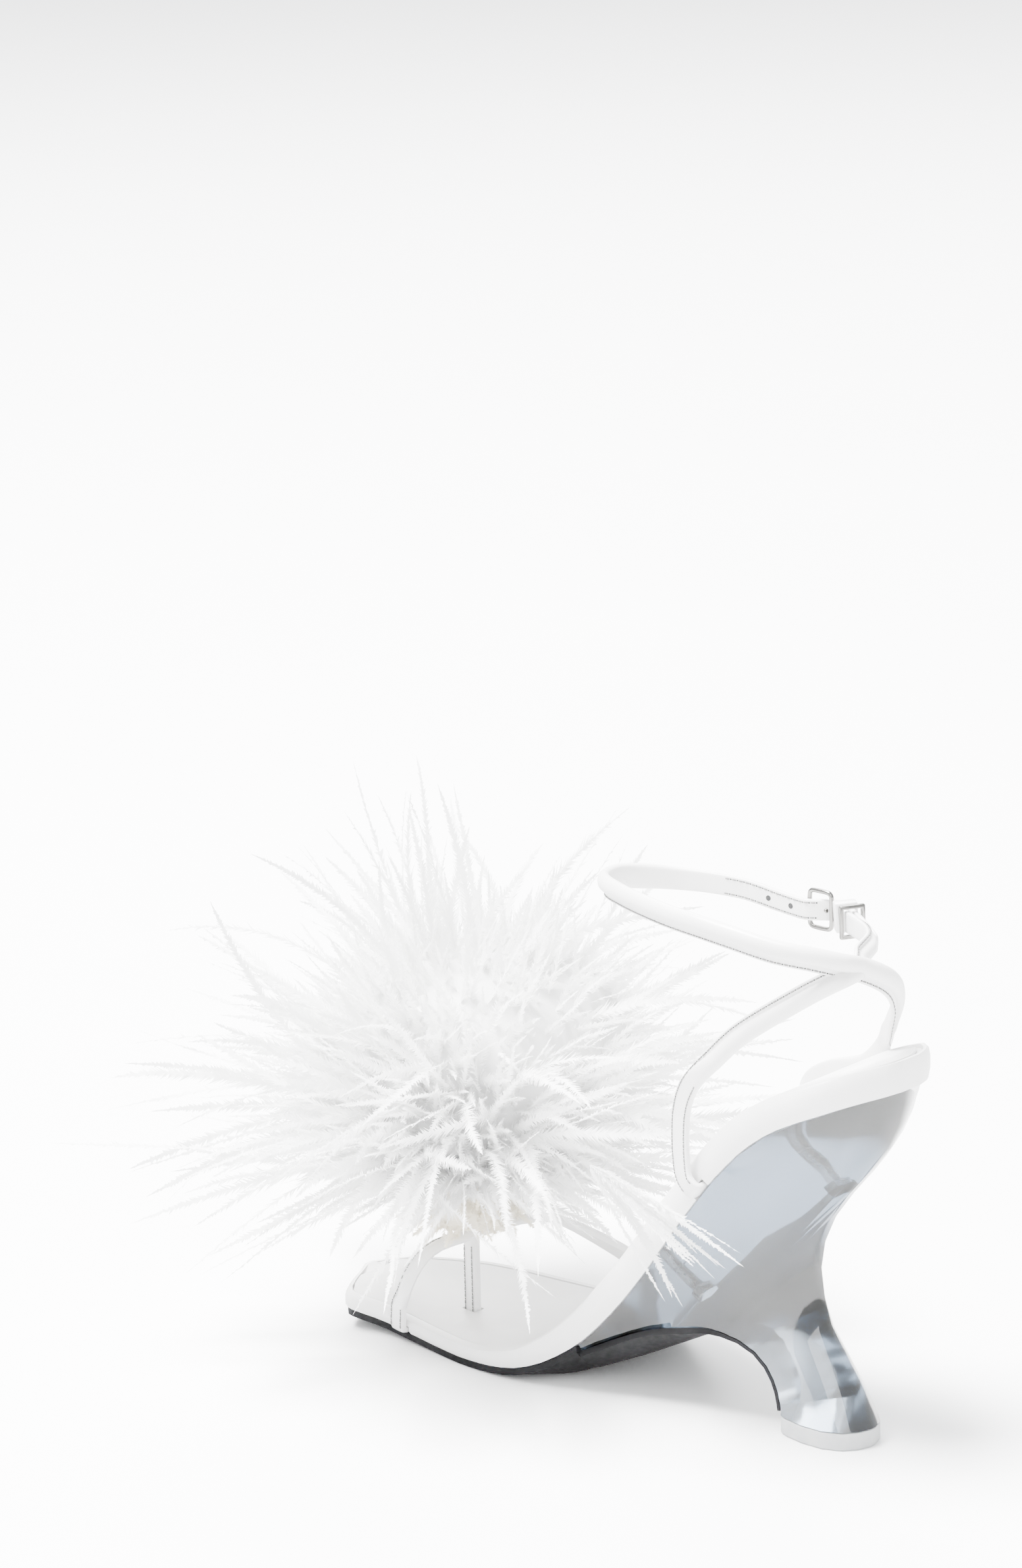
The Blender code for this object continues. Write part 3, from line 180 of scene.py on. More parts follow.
OUTER_STRAND = (
    (19.2, 28.8, 74.5, 0.00, -0.75, -0.66, 0.00),
    (25.7, 28.9, 74.4, 0.00, -0.75, -0.66, 0.00),
    (28.9, 29.0, 74.4, 0.71, -0.52, -0.48, 0.00),
    (29.5, 30.9, 76.0, 1.00, 0.02, -0.02, 0.00),
    (29.5, 32.4, 78.2, 1.00, 0.02, -0.02, 0.00),
    (29.5, 33.2, 82.1, 1.00, 0.02, -0.02, 0.00),
    (31.0, 33.0, 90.6, 1.00, 0.05, 0.00, 0.00),
    (31.6, 24.5, 96.0, 1.00, -0.10, 0.00, 0.00),
    (30.5, 12.5, 99.8, 0.95, -0.30, 0.00, 0.70),
    (30.5, 5.8, 106.8, 0.92, -0.40, 0.00, 1.00),
    (27.3, 2.0, 112.2, 0.87, -0.49, 0.00, 1.00),
    (22.0, -2.8, 115.8, 0.77, -0.63, 0.00, 1.00),
    (17.4, -7.2, 120.3, 0.65, -0.76, 0.00, 1.00),
    (12.7, -12.5, 127.5, 0.48, -0.88, 0.00, 1.00),
    (6.7, -16.3, 134.2, 0.25, -0.97, 0.00, 1.00),
    (0.0, -17.8, 139.0, 0.00, -1.00, 0.00, 1.00),
    (-7.4, -15.7, 143.0, -0.28, -0.96, 0.00, 1.00),
    (-14.9, -15.0, 145.7, -0.52, -0.86, 0.00, 1.00),
    (-22.0, -9.0, 148.3, -0.72, -0.70, 0.00, 1.00),
    (-27.0, -0.5, 149.9, -0.85, -0.53, 0.00, 1.00),
    (-30.1, 11.0, 152.2, -0.94, -0.33, 0.00, 1.00),
    (-31.0, 22.5, 153.6, -0.99, -0.13, 0.00, 1.00),
    (-29.4, 35.5, 154.0, -0.99, 0.10, 0.00, 1.00),
    (-25.4, 49.5, 154.0, -0.92, 0.39, 0.00, 1.00),
    (-17.1, 65.2, 152.7, -0.66, 0.75, 0.00, 1.00),
    (-5.9, 78.8, 150.4, -0.21, 0.98, 0.00, 1.00),
    (5.0, 82.8, 149.2, 0.17, 0.99, 0.00, 1.00),
    (14.0, 80.8, 147.6, 0.45, 0.89, 0.00, 1.00),
    (22.0, 74.2, 146.0, 0.67, 0.74, 0.00, 0.40),
    (27.0, 65.5, 145.1, 0.81, 0.59, 0.00, 0.00),
    (30.1, 55.5, 144.2, 0.91, 0.42, 0.00, 0.00),
    (31.0, 46.0, 142.8, 0.96, 0.27, 0.00, 0.00),
    (31.0, 36.8, 142.0, 1.00, 0.00, 0.00, 0.00),
    (31.0, 34.0, 142.0, 1.00, 0.00, 0.00, 0.00),
    (35.0, 27.6, 142.0, 1.00, 0.00, 0.00, 0.00),
    (35.0, 25.6, 142.0, 1.00, 0.00, 0.00, 0.00),
    (31.7, 19.6, 142.3, 0.98, -0.18, 0.00, 0.00),
    (27.9, 13.3, 142.1, 0.95, -0.32, 0.00, 0.00),
    (20.7, 1.3, 139.9, 0.78, -0.62, 0.00, 0.00),
)
VAMP_STRAP = (
    (-14.9, 144.8, 4.8, 0.00, 0.10, -0.99, 0.00),
    (-21.4, 145.3, 4.9, 0.00, 0.10, -0.99, 0.00),
    (-24.6, 145.5, 5.0, -0.71, 0.12, -0.70, 0.00),
    (-25.2, 145.3, 7.5, -1.00, 0.07, 0.01, 0.00),
    (-25.2, 145.1, 10.1, -1.00, 0.07, 0.01, 0.00),
    (-25.2, 145.0, 12.1, -1.00, 0.07, 0.01, 0.00),
    (-24.9, 143.9, 15.9, -0.96, 0.00, 0.28, 1.00),
    (-22.4, 142.8, 21.8, -0.87, 0.00, 0.49, 1.00),
    (-18.5, 141.5, 26.6, -0.74, 0.00, 0.67, 1.00),
    (-12.5, 140.2, 29.3, -0.56, 0.00, 0.83, 1.00),
    (-6.0, 136.8, 30.7, -0.33, 0.00, 0.94, 1.00),
    (1.0, 131.5, 32.8, -0.04, 0.00, 1.00, 1.00),
    (8.0, 126.1, 34.4, 0.22, 0.00, 0.98, 1.00),
    (14.8, 121.3, 33.9, 0.44, 0.00, 0.90, 1.00),
    (20.0, 117.1, 31.8, 0.60, 0.00, 0.80, 1.00),
    (25.0, 113.2, 28.0, 0.75, 0.00, 0.66, 1.00),
    (29.0, 108.9, 24.5, 0.85, 0.00, 0.52, 1.00),
    (32.5, 103.7, 20.6, 0.92, 0.00, 0.38, 1.00),
    (36.0, 98.8, 15.0, 0.98, 0.00, 0.20, 1.00),
    (38.8, 96.0, 11.0, 0.99, -0.14, 0.04, 0.00),
    (38.8, 94.9, 9.4, 0.99, -0.14, 0.04, 0.00),
    (38.8, 93.8, 7.0, 0.99, -0.14, 0.04, 0.00),
    (38.2, 93.2, 4.6, 0.70, -0.31, -0.65, 0.00),
    (35.0, 93.6, 4.3, 0.00, -0.30, -0.95, 0.00),
    (28.6, 94.4, 4.1, 0.00, -0.30, -0.95, 0.00),
)

# Columns: across and up, as shares of the strap's width and thickness, flat and then rolled
STRAP_PROFILE = (
    (-0.47, -0.50, -0.36, -0.49),
    (-0.50, -0.35, -0.45, -0.36),
    (-0.50, 0.10, -0.50, -0.10),
    (-0.485, 0.32, -0.48, 0.14),
    (-0.43, 0.45, -0.40, 0.35),
    (-0.30, 0.50, -0.27, 0.47),
    (-0.10, 0.50, -0.12, 0.50),
    (0.10, 0.50, 0.03, 0.44),
    (0.30, 0.50, 0.14, 0.30),
    (0.43, 0.45, 0.20, 0.10),
    (0.485, 0.32, 0.235, -0.10),
    (0.50, 0.10, 0.30, -0.15),
    (0.50, -0.35, 0.47, -0.16),
    (0.47, -0.50, 0.50, -0.30),
    (0.20, -0.50, 0.48, -0.48),
    (-0.20, -0.50, 0.05, -0.50),
)


# Materials

def shader_of(name, colour, roughness, **sockets):
    """A material with a principled shader, its even values set on the shader's own sockets."""
    mat = bpy.data.materials.new(name)
    mat.use_nodes = True
    shader = mat.node_tree.nodes["Principled BSDF"]
    shader.inputs["Base Color"].default_value = (*colour, 1.0)
    shader.inputs["Roughness"].default_value = roughness
    for socket, value in sockets.items():
        shader.inputs[socket.replace("_", " ")].default_value = value
    return mat, shader


def noise(mat, scale, detail=3.0, stretch=(1, 1, 1), kind="ShaderNodeTexNoise"):
    """A noise or cell texture over the object's own coordinates, in cycles a metre."""
    nodes, links = mat.node_tree.nodes, mat.node_tree.links
    place = nodes.new("ShaderNodeTexCoord")
    shape = nodes.new("ShaderNodeMapping")
    shape.inputs["Scale"].default_value = stretch
    texture = nodes.new(kind)
    texture.inputs["Scale"].default_value = scale
    if kind == "ShaderNodeTexNoise":
        texture.inputs["Detail"].default_value = detail
    links.new(place.outputs["Object"], shape.inputs["Vector"])
    links.new(shape.outputs["Vector"], texture.inputs["Vector"])
    return texture.outputs[0]


def vary(mat, source, low, high, target, start=0.3, end=0.7):
    """Drives a socket between two values or colours by a texture."""
    nodes, links = mat.node_tree.nodes, mat.node_tree.links
    if isinstance(low, tuple):
        ramp = nodes.new("ShaderNodeValToRGB")
        ramp.color_ramp.elements[0].position = start
        ramp.color_ramp.elements[0].color = (*low, 1.0)
        ramp.color_ramp.elements[1].position = end
        ramp.color_ramp.elements[1].color = (*high, 1.0)
        links.new(source, ramp.inputs["Fac"])
        links.new(ramp.outputs["Color"], target)
        return
    spread = nodes.new("ShaderNodeMapRange")
    for socket, value in (("From Min", start), ("From Max", end), ("To Min", low), ("To Max", high)):
        spread.inputs[socket].default_value = value
    links.new(source, spread.inputs["Value"])
    links.new(spread.outputs["Result"], target)


def relief(mat, shader, layers):
    """Bump from textures, each with its strength and depth in metres."""
    nodes, links = mat.node_tree.nodes, mat.node_tree.links
    last = None
    for source, strength, depth in layers:
        bump = nodes.new("ShaderNodeBump")
        bump.inputs["Strength"].default_value = strength
        bump.inputs["Distance"].default_value = depth
        links.new(source, bump.inputs["Height"])
        if last is not None:
            links.new(last, bump.inputs["Normal"])
        last = bump.outputs["Normal"]
    links.new(last, shader.inputs["Normal"])
    if "Coat Normal" in shader.inputs and shader.inputs["Coat Weight"].default_value > 0:
        links.new(last, shader.inputs["Coat Normal"])


def leather(name, low, high, rough, grain=1.0, coat=0.0, gloss=0.5):
    """Dressed hide: an uneven tone, soft dents, and a pebbled and a fine grain."""
    mat, shader = shader_of(
        name, high, rough, Coat_Weight=coat, Coat_Roughness=0.28, Specular_IOR_Level=gloss
    )
    vary(mat, noise(mat, 60, 4), low, high, shader.inputs["Base Color"])
    vary(mat, noise(mat, 420, 3), rough - 0.07, rough + 0.08, shader.inputs["Roughness"])
    cells = noise(mat, 1500, kind="ShaderNodeTexVoronoi")
    fine = noise(mat, 3200, 4)
    soft = noise(mat, 130, 3)
    layers = (
        (soft, 0.25 * grain, 0.0004),
        (cells, 0.22 * grain, 0.00007),
        (fine, 0.2 * grain, 0.00004),
    )
    relief(mat, shader, layers)
    return mat


def metal(name, colour, rough):
    """Polished steel with faint wear."""
    mat, shader = shader_of(name, colour, rough, Metallic=1.0)
    vary(mat, noise(mat, 700, 4), rough - 0.06, rough + 0.10, shader.inputs["Roughness"])
    vary(mat, noise(mat, 260, 2), tuple(0.9 * c for c in colour), colour, shader.inputs["Base Color"])
    relief(mat, shader, ((noise(mat, 500, 3), 0.10, 0.00005),))
    return mat


def clear(name, tint, rough, ior, depth):
    """Cast plastic that is seen through and darkens where it is thick."""
    mat, shader = shader_of(
        name, tint, rough, Transmission_Weight=1.0, IOR=ior, Coat_Weight=1.0, Coat_Roughness=0.02
    )
    vary(mat, noise(mat, 90, 3), rough, rough + 0.03, shader.inputs["Roughness"], 0.45, 0.75)
    relief(mat, shader, ((noise(mat, 45, 2), 0.10, depth),))
    body = mat.node_tree.nodes.new("ShaderNodeVolumeAbsorption")
    body.inputs["Color"].default_value = HEEL_ABSORPTION
    body.inputs["Density"].default_value = HEEL_DENSITY
    mat.node_tree.links.new(body.outputs[0], mat.node_tree.nodes["Material Output"].inputs["Volume"])
    return mat


def punched():
    """Painted shade: a near-black colour that stands in for the dark inside of a hole."""
    mat, shader = shader_of("painted_hole_shade", (0.10, 0.10, 0.10), 0.9)
    low, high = (0.015, 0.015, 0.015), (0.04, 0.04, 0.04)
    vary(mat, noise(mat, 900), low, high, shader.inputs["Base Color"])
    return mat


def cloudy_plastic():
    """The worn, half clear plastic of the heel tread."""
    mat, shader = shader_of(
        "tread_plastic", (0.80, 0.82, 0.83), 0.45, Transmission_Weight=0.45, IOR=1.46
    )
    vary(mat, noise(mat, 240, 4), (0.72, 0.74, 0.76), (0.86, 0.87, 0.87), shader.inputs["Base Color"])
    relief(mat, shader, ((noise(mat, 900, 3), 0.3, 0.00008),))
    return mat


def feather(name, low, high, through):
    """Soft fibres that let part of the light through."""
    mat, shader = shader_of(
        name, high, 0.85, Specular_IOR_Level=0.15, Sheen_Weight=0.25, Sheen_Roughness=0.5
    )
    vary(mat, noise(mat, 35, 3), low, high, shader.inputs["Base Color"])
    nodes, links = mat.node_tree.nodes, mat.node_tree.links
    behind = nodes.new("ShaderNodeBsdfTranslucent")
    behind.inputs["Color"].default_value = (*high, 1.0)
    both = nodes.new("ShaderNodeMixShader")
    both.inputs["Fac"].default_value = through
    links.new(shader.outputs[0], both.inputs[1])
    links.new(behind.outputs[0], both.inputs[2])
    links.new(both.outputs[0], nodes["Material Output"].inputs["Surface"])
    return mat


WHITE_LEATHER = leather("white_leather", (0.70, 0.695, 0.69), (0.76, 0.755, 0.75), 0.40, 0.25, 0.12)
STRAP_LEATHER = leather("strap_leather", (0.70, 0.695, 0.69), (0.77, 0.765, 0.76), 0.36, 0.7, 0.18)
SOCK_LEATHER = leather("sock_leather", (0.70, 0.695, 0.69), (0.77, 0.765, 0.76), 0.48, 0.7)
SOLE_LEATHER = leather(
    "sole_leather", (0.003, 0.003, 0.0035), (0.007, 0.007, 0.008), 0.62, 0.4, 0.0, 0.12
)
STEEL = metal("buckle_steel", (0.22, 0.215, 0.205), 0.16)
BOLT = metal("bolt_steel", (0.24, 0.235, 0.225), 0.24)
ACRYLIC = clear("clear_acrylic", (0.90, 0.93, 0.96), 0.10, 1.49, 0.0004)
# Stitch thread: its dark grey colour is painted shade of the sunken stitch line
SHADED_THREAD = leather("thread_painted_shade", (0.12, 0.118, 0.115), (0.20, 0.198, 0.195), 0.7, 0.3)
# Near-black painted shade for the pinholes and the strap's punched holes
HOLE_SHADE = punched()
TREAD = cloudy_plastic()
PLUME = feather("white_plume", (0.945, 0.945, 0.94), (0.975, 0.975, 0.97), 0.45)
QUILL = feather("ivory_down", (0.80, 0.74, 0.60), (0.92, 0.885, 0.79), 0.25)


# Pieces

def add(name, mesh, mat):
    """A new piece that rides with the shoe."""
    piece = bpy.data.objects.new(name, mesh)
    bpy.context.scene.collection.objects.link(piece)
    mesh.materials.clear()
    mesh.materials.append(mat)
    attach(piece, "root")
    return piece


def mesh_of(name, verts, faces):
    mesh = bpy.data.meshes.new(name)
    mesh.from_pydata(verts, [], faces)
    return mesh


def smooth_mesh(name, shape):
    """A bmesh as a smoothly shaded mesh; the bmesh is freed."""
    for face in shape.faces:
        face.smooth = True
    mesh = bpy.data.meshes.new(name)
    shape.to_mesh(mesh)
    shape.free()
    return mesh


def solid_shape(node):
    """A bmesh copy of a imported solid."""
    shape = bmesh.new()
    shape.from_mesh(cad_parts[node].data)
    return shape


def dressed(node, name, mat, angle=35, levels=0, bevel=0.0):
    """The node's form with joined faces, soft edges and smooth shading, in the node's place.
    angle is the crease angle in degrees, levels the subdivisions, bevel the edges' in millimetres."""
    shape = solid_shape(node)
    bmesh.ops.remove_doubles(shape, verts=shape.verts, dist=JOIN_WITHIN)
    bmesh.ops.join_triangles(
        shape,
        faces=shape.faces,
        angle_face_threshold=math.radians(8),
        angle_shape_threshold=math.radians(60),
    )
    crease = shape.edges.layers.float.new("crease_edge")
    for edge in shape.edges:
        sharp = len(edge.link_faces) != 2 or edge.calc_face_angle(0) > math.radians(angle)
        edge[crease] = 0.85 if sharp else 0.0
        edge.smooth = not sharp or levels > 0
    piece = add(name, smooth_mesh(name, shape), mat)
    if bevel:
        edges = piece.modifiers.new("soft_edges", "BEVEL")
        edges.width = bevel * MM
        edges.segments = 2
        edges.limit_method = "ANGLE"
        edges.angle_limit = math.radians(angle)
        edges.harden_normals = True
    if levels:
        finer = piece.modifiers.new("finer", "SUBSURF")
        finer.levels = finer.render_levels = levels
    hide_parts(node)
    return piece


def spline(points, stops):
    """Points of a centripetal curve through the given ones, stops between each pair."""
    points = [np.array(p, float) for p in points]
    full = [2 * points[0] - points[1]] + points + [2 * points[-1] - points[-2]]
    line = []
    for k in range(1, len(full) - 2):
        p = full[k - 1 : k + 3]
        knots = [0.0]
        for a, b in zip(p, p[1:]):
            knots.append(knots[-1] + max(np.linalg.norm(b[:3] - a[:3]), 1e-6) ** 0.5)
        for step in range(stops):
            t = knots[1] + (knots[2] - knots[1]) * step / stops
            level = list(p)
            for order in (1, 2, 3):
                level = [
                    (level[j] * (knots[j + order] - t) + level[j + 1] * (t - knots[j]))
                    / (knots[j + order] - knots[j])
                    for j in range(len(level) - 1)
                ]
            line.append(level[0])
    line.append(points[-1])
    return line


def frames(rows, flat, rolled):
    """Sections along a strap: place, side, outward, direction, width, thickness and roll."""
    line = spline(rows, SECTIONS_A_ROW)
    found = []
    for k, p in enumerate(line):
        tangent = line[min(k + 1, len(line) - 1)][:3] - line[max(k - 1, 0)][:3]
        tangent = tangent / np.linalg.norm(tangent)
        out = p[3:6] - tangent * np.dot(p[3:6], tangent)
        out = out / np.linalg.norm(out)
        roll = min(max(p[6], 0.0), 1.0)
        width = flat[0] + (rolled[0] - flat[0]) * roll
        thick = flat[1] + (rolled[1] - flat[1]) * roll
        found.append((p[:3], np.cross(out, tangent), out, tangent, width, thick, roll))
    return found


def on_strap(section, flat, rolled):
    """A point of a section from its across and up shares, flat and rolled."""
    place, side, out, _, width, thick, roll = section
    across = flat[0] + (rolled[0] - flat[0]) * roll
    up = flat[1] + (rolled[1] - flat[1]) * roll
    return place + side * across * width + out * up * thick


def sweep(name, sections, mat):
    """A strap's finely rounded skin, closed at both ends."""
    verts, faces = [], []
    count = len(STRAP_PROFILE)
    for section in sections:
        verts += [tuple(on_strap(section, row[:2], row[2:]) * MM) for row in STRAP_PROFILE]
    for k in range(len(sections) - 1):
        for j in range(count):
            a, b = k * count + j, k * count + (j + 1) % count
            faces.append((a, b, b + count, a + count))
    faces.append(tuple(reversed(range(count))))
    faces.append(tuple(range(len(verts) - count, len(verts))))
    mesh = mesh_of(name, verts, faces)
    shape = bmesh.new()
    shape.from_mesh(mesh)
    bmesh.ops.recalc_face_normals(shape, faces=shape.faces)
    shape.to_mesh(mesh)
    shape.free()
    for face in mesh.polygons:
        face.use_smooth = len(face.vertices) == 4
    piece = add(name, mesh, mat)
    finer = piece.modifiers.new("finer", "SUBSURF")
    finer.levels = finer.render_levels = 1
    return piece


def stitches(name, rows):
    """Thread laid along rows of (place, direction, outward), one mesh for all of them; its dark grey
    is painted shade of the sunken stitch line.
    """
    verts, faces = [], []
    sides = STITCH_SIDES
    # Shares along the stitch and of its width, and height in millimetres
    stops = (
        (-0.5, 0.25, -0.16),
        (-0.36, 0.9, 0.0),
        (0.0, 1.0, 0.06),
        (0.36, 0.9, 0.0),
        (0.5, 0.25, -0.16),
    )
    for row in rows:
        for place, along, out in stitch_places(row):
            side = np.cross(out, along)
            first = len(verts)
            for along_by, wide, up_by in stops:
                middle = place + along * along_by * STITCH_LENGTH + out * up_by
                for j in range(sides):
                    angle = math.tau * j / sides
                    spot = side * math.cos(angle) * 0.5 + out * math.sin(angle) * 0.42
                    verts.append(tuple((middle + spot * wide * STITCH_WIDTH) * MM))
            for k in range(len(stops) - 1):
                for j in range(sides):
                    a, b = first + k * sides + j, first + k * sides + (j + 1) % sides
                    faces.append((a, b, b + sides, a + sides))
            faces.append(tuple(range(first + sides - 1, first - 1, -1)))
            faces.append(tuple(range(len(verts) - sides, len(verts))))
    mesh = mesh_of(name, verts, faces)
    for face in mesh.polygons:
        face.use_smooth = True
    return add(name, mesh, SHADED_THREAD)


def pinholes(name, rows):
    """A flat near-black disc of painted shade for the pinhole between each two stitches."""
    verts, faces = [], []
    for row in rows:
        for place, along, out in stitch_places(row):
            side = np.cross(out, along)
            middle = place + along * STITCH_PITCH / 2 + out * PINHOLE_LIFT
            first = len(verts)
            for j in range(PINHOLE_SIDES):
                angle = math.tau * j / PINHOLE_SIDES
                spot = along * math.cos(angle) * PINHOLE_LONG + side * math.sin(angle) * PINHOLE_WIDE
                verts.append(tuple((middle + spot) * MM))
            faces.append(tuple(range(first, first + PINHOLE_SIDES)))
    return add(name, mesh_of(name, verts, faces), HOLE_SHADE)


def stitch_places(row):
    """Evenly spaced places along a row of (place, outward)."""
    points = np.array([p for p, _ in row])
    outs = np.array([o for _, o in row])
    steps = np.linalg.norm(np.diff(points, axis=0), axis=1)
    run = np.concatenate([[0.0], np.cumsum(steps)])
    found = []
    for at in np.arange(0.5 * STITCH_PITCH, run[-1] - 0.5 * STITCH_PITCH, STITCH_PITCH):
        place = np.array([np.interp(at, run, points[:, j]) for j in range(3)])
        ahead = np.array([np.interp(at + 0.3, run, points[:, j]) for j in range(3)])
        out = np.array([np.interp(at, run, outs[:, j]) for j in range(3)])
        along = (ahead - place) / np.linalg.norm(ahead - place)
        out = out - along * np.dot(out, along)
        found.append((place, along, out / np.linalg.norm(out)))
    return found


def edge_row(sections, line, start, end, most_roll=1.0, face=1):
    """A stitch row along a strap between two sections, left out where it is rolled over most_roll."""
    row = []
    for section in sections[start:end]:
        if section[6] <= most_roll:
            row.append((on_strap(section, *line), face * section[2]))
    return row


def holes(name, sections, spots):
    """Punched holes through a flat strap, at the given section numbers, drawn as near-black plugs
    whose colour is painted shade.
    """
    verts, faces = [], []
    sides = PUNCH_SIDES
    for k in spots:
        place, side, out, along, _, thick, _ = sections[k]
        first = len(verts)
        for up in (-0.5 * thick - PUNCH_LIFT, 0.5 * thick + PUNCH_LIFT):
            for j in range(sides):
                angle = math.tau * j / sides
                spot = along * math.cos(angle) + side * math.sin(angle)
                verts.append(tuple((place + spot * PUNCH_WIDTH / 2 + out * up) * MM))
        for j in range(sides):
            a, b = first + j, first + (j + 1) % sides
            faces.append((a, b, b + sides, a + sides))
        faces.append(tuple(range(first + sides - 1, first - 1, -1)))
        faces.append(tuple(range(first + sides, first + 2 * sides)))
    return add(name, mesh_of(name, verts, faces), HOLE_SHADE)


# Plumes

def arc(root, tip, lift, sway, count, start=0.0, ripple=0.0):
    """Points of a bent fibre that leaves its root upwards and outwards, from a share of its run.
    ripple is the depth of its own gentle waves."""
    reach = np.linalg.norm(tip - root)
    ahead = (tip - root) / reach
    knee = root + (ahead * (1 - lift) + np.array([0.0, 0.0, lift])) * reach * 0.5 + sway
    t = np.linspace(start, 1, count)[:, None]
    line = (1 - t) ** 2 * root + 2 * t * (1 - t) * knee + t**2 * tip
    turn = float(np.sum(sway) * 7 + reach)
    wave = np.cross(ahead, sway + 0.01)
    wave = wave / np.linalg.norm(wave)
    return line + wave * ripple * t * np.sin(t * 7.5 + turn)


def fronds(name, lines, mat, seed, width=FROND_WIDTH, stops=FROND_STOPS):
    """Fibres with fine barbs on both sides, tapered to their tips, one mesh for all of them."""
    chance = np.random.RandomState(seed)
    verts, faces = [], []
    first = 0
    share = (np.arange(stops - 1) + 0.5) / (stops - 1)
    swell = np.minimum(1, 0.3 + share * 6) * (1 - share**5) ** 0.9 * (1 - 0.15 * share)
    for line in lines:
        ahead = np.gradient(line, axis=0)
        ahead /= np.linalg.norm(ahead, axis=1)[:, None]
        facing = chance.normal(size=3)
        turn = chance.uniform(-0.9, 0.9)
        side = np.cross(ahead, facing)
        side /= np.linalg.norm(side, axis=1)[:, None]
        up = np.cross(side, ahead)
        angle = (turn * np.linspace(0, 1, stops))[:, None]
        side, up = side * np.cos(angle) + up * np.sin(angle), up * np.cos(angle) - side * np.sin(angle)
        wide = width * chance.uniform(0.6, 1.2) / 2
        made = [line]
        for hand in (-1, 1):
            reach = wide * swell * chance.uniform(0.55, 1.25, stops - 1)
            tip = line[:-1] + side[:-1] * (hand * reach)[:, None]
            tip = tip + ahead[:-1] * (reach * chance.uniform(1.1, 2.1, stops - 1))[:, None]
            tip = tip + up[:-1] * (reach * chance.normal(0, 0.22, stops - 1))[:, None]
            made.append(tip)
        verts.append(np.concatenate(made))
        k = np.arange(stops - 1) + first
        broad = np.minimum(k + 2, first + stops - 1)
        left = np.stack([k, broad, k + stops], 1)
        right = np.stack([broad, k, k + 2 * stops - 1], 1)
        faces.append(np.concatenate([left, right]))
        first += 3 * stops - 2
    verts = np.concatenate(verts) * MM
    faces = np.concatenate(faces)
    mesh = bpy.data.meshes.new(name)
    mesh.vertices.add(len(verts))
    mesh.vertices.foreach_set("co", verts.astype(np.float32).ravel())
    mesh.loops.add(len(faces) * 3)
    mesh.loops.foreach_set("vertex_index", faces.astype(np.int32).ravel())
    mesh.polygons.add(len(faces))
    mesh.polygons.foreach_set("loop_start", np.arange(0, len(faces) * 3, 3, dtype=np.int32))
    mesh.update(calc_edges=True)
    for face in mesh.polygons:
        face.use_smooth = True
    return add(name, mesh, mat)


def lock_tips():
    """Tips of the solid pompom's locks, their root and the solid's two corners, in millimetres."""
    shape = solid_shape("feather_pompom")
    bmesh.ops.remove_doubles(shape, verts=shape.verts, dist=JOIN_WITHIN)
    low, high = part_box("feather_pompom")
    foot_low, foot_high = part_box("pompom_base")
    centre = Vector(((foot_low.x + foot_high.x) / 2, (foot_low.y + foot_high.y) / 2, foot_high.z))
    far = {vert: (vert.co - centre).length for vert in shape.verts}
    tips = []
    for vert, reach in far.items():
        around = [edge.other_vert(vert) for edge in vert.link_edges]
        if all(reach >= far[other] for other in around) and reach > LOCK_REACH * MM:
            spot = np.array(vert.co) / MM
            if all(np.linalg.norm(spot - other) > LOCK_GAP for other in tips):
                tips.append(spot)
    shape.free()
    return tips, np.array(centre) / MM, np.array(low) / MM, np.array(high) / MM


def core(middle):
    """The dense down deep inside the pompom, uneven all round."""
    shape = bmesh.new()
    bmesh.ops.create_icosphere(shape, subdivisions=4, radius=1.0)
    chance = np.random.RandomState(3)
    for vert in shape.verts:
        swell = 1 + chance.uniform(-0.05, 0.05)
        vert.co = Vector([(middle[k] + vert.co[k] * swell * CORE_SIZE[k]) * MM for k in range(3)])
    heart = add("plume_core", smooth_mesh("plume_core", shape), PLUME)
    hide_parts("feather_pompom")


def surface_tips(count, root, middle):
    """Places spread evenly over the solid pompom, found from outside."""
    shape = solid_shape("feather_pompom")
    surface = BVHTree.FromBMesh(shape)
    shape.free()
    found = []
    for k in range(count):
        up = 1 - 1.86 * (k + 0.5) / count
        level = math.sqrt(1 - up * up)
        turn = 2.399963 * k
        way = np.array([level * math.cos(turn), level * math.sin(turn), up])
        centre = np.array([middle[0], middle[1], root[2] + HEART_HEIGHT])
        spot = surface.ray_cast(Vector((centre + way * 130) * MM), Vector(-way))[0]
        if spot is not None:
            found.append(np.array(spot) / MM)
    return found


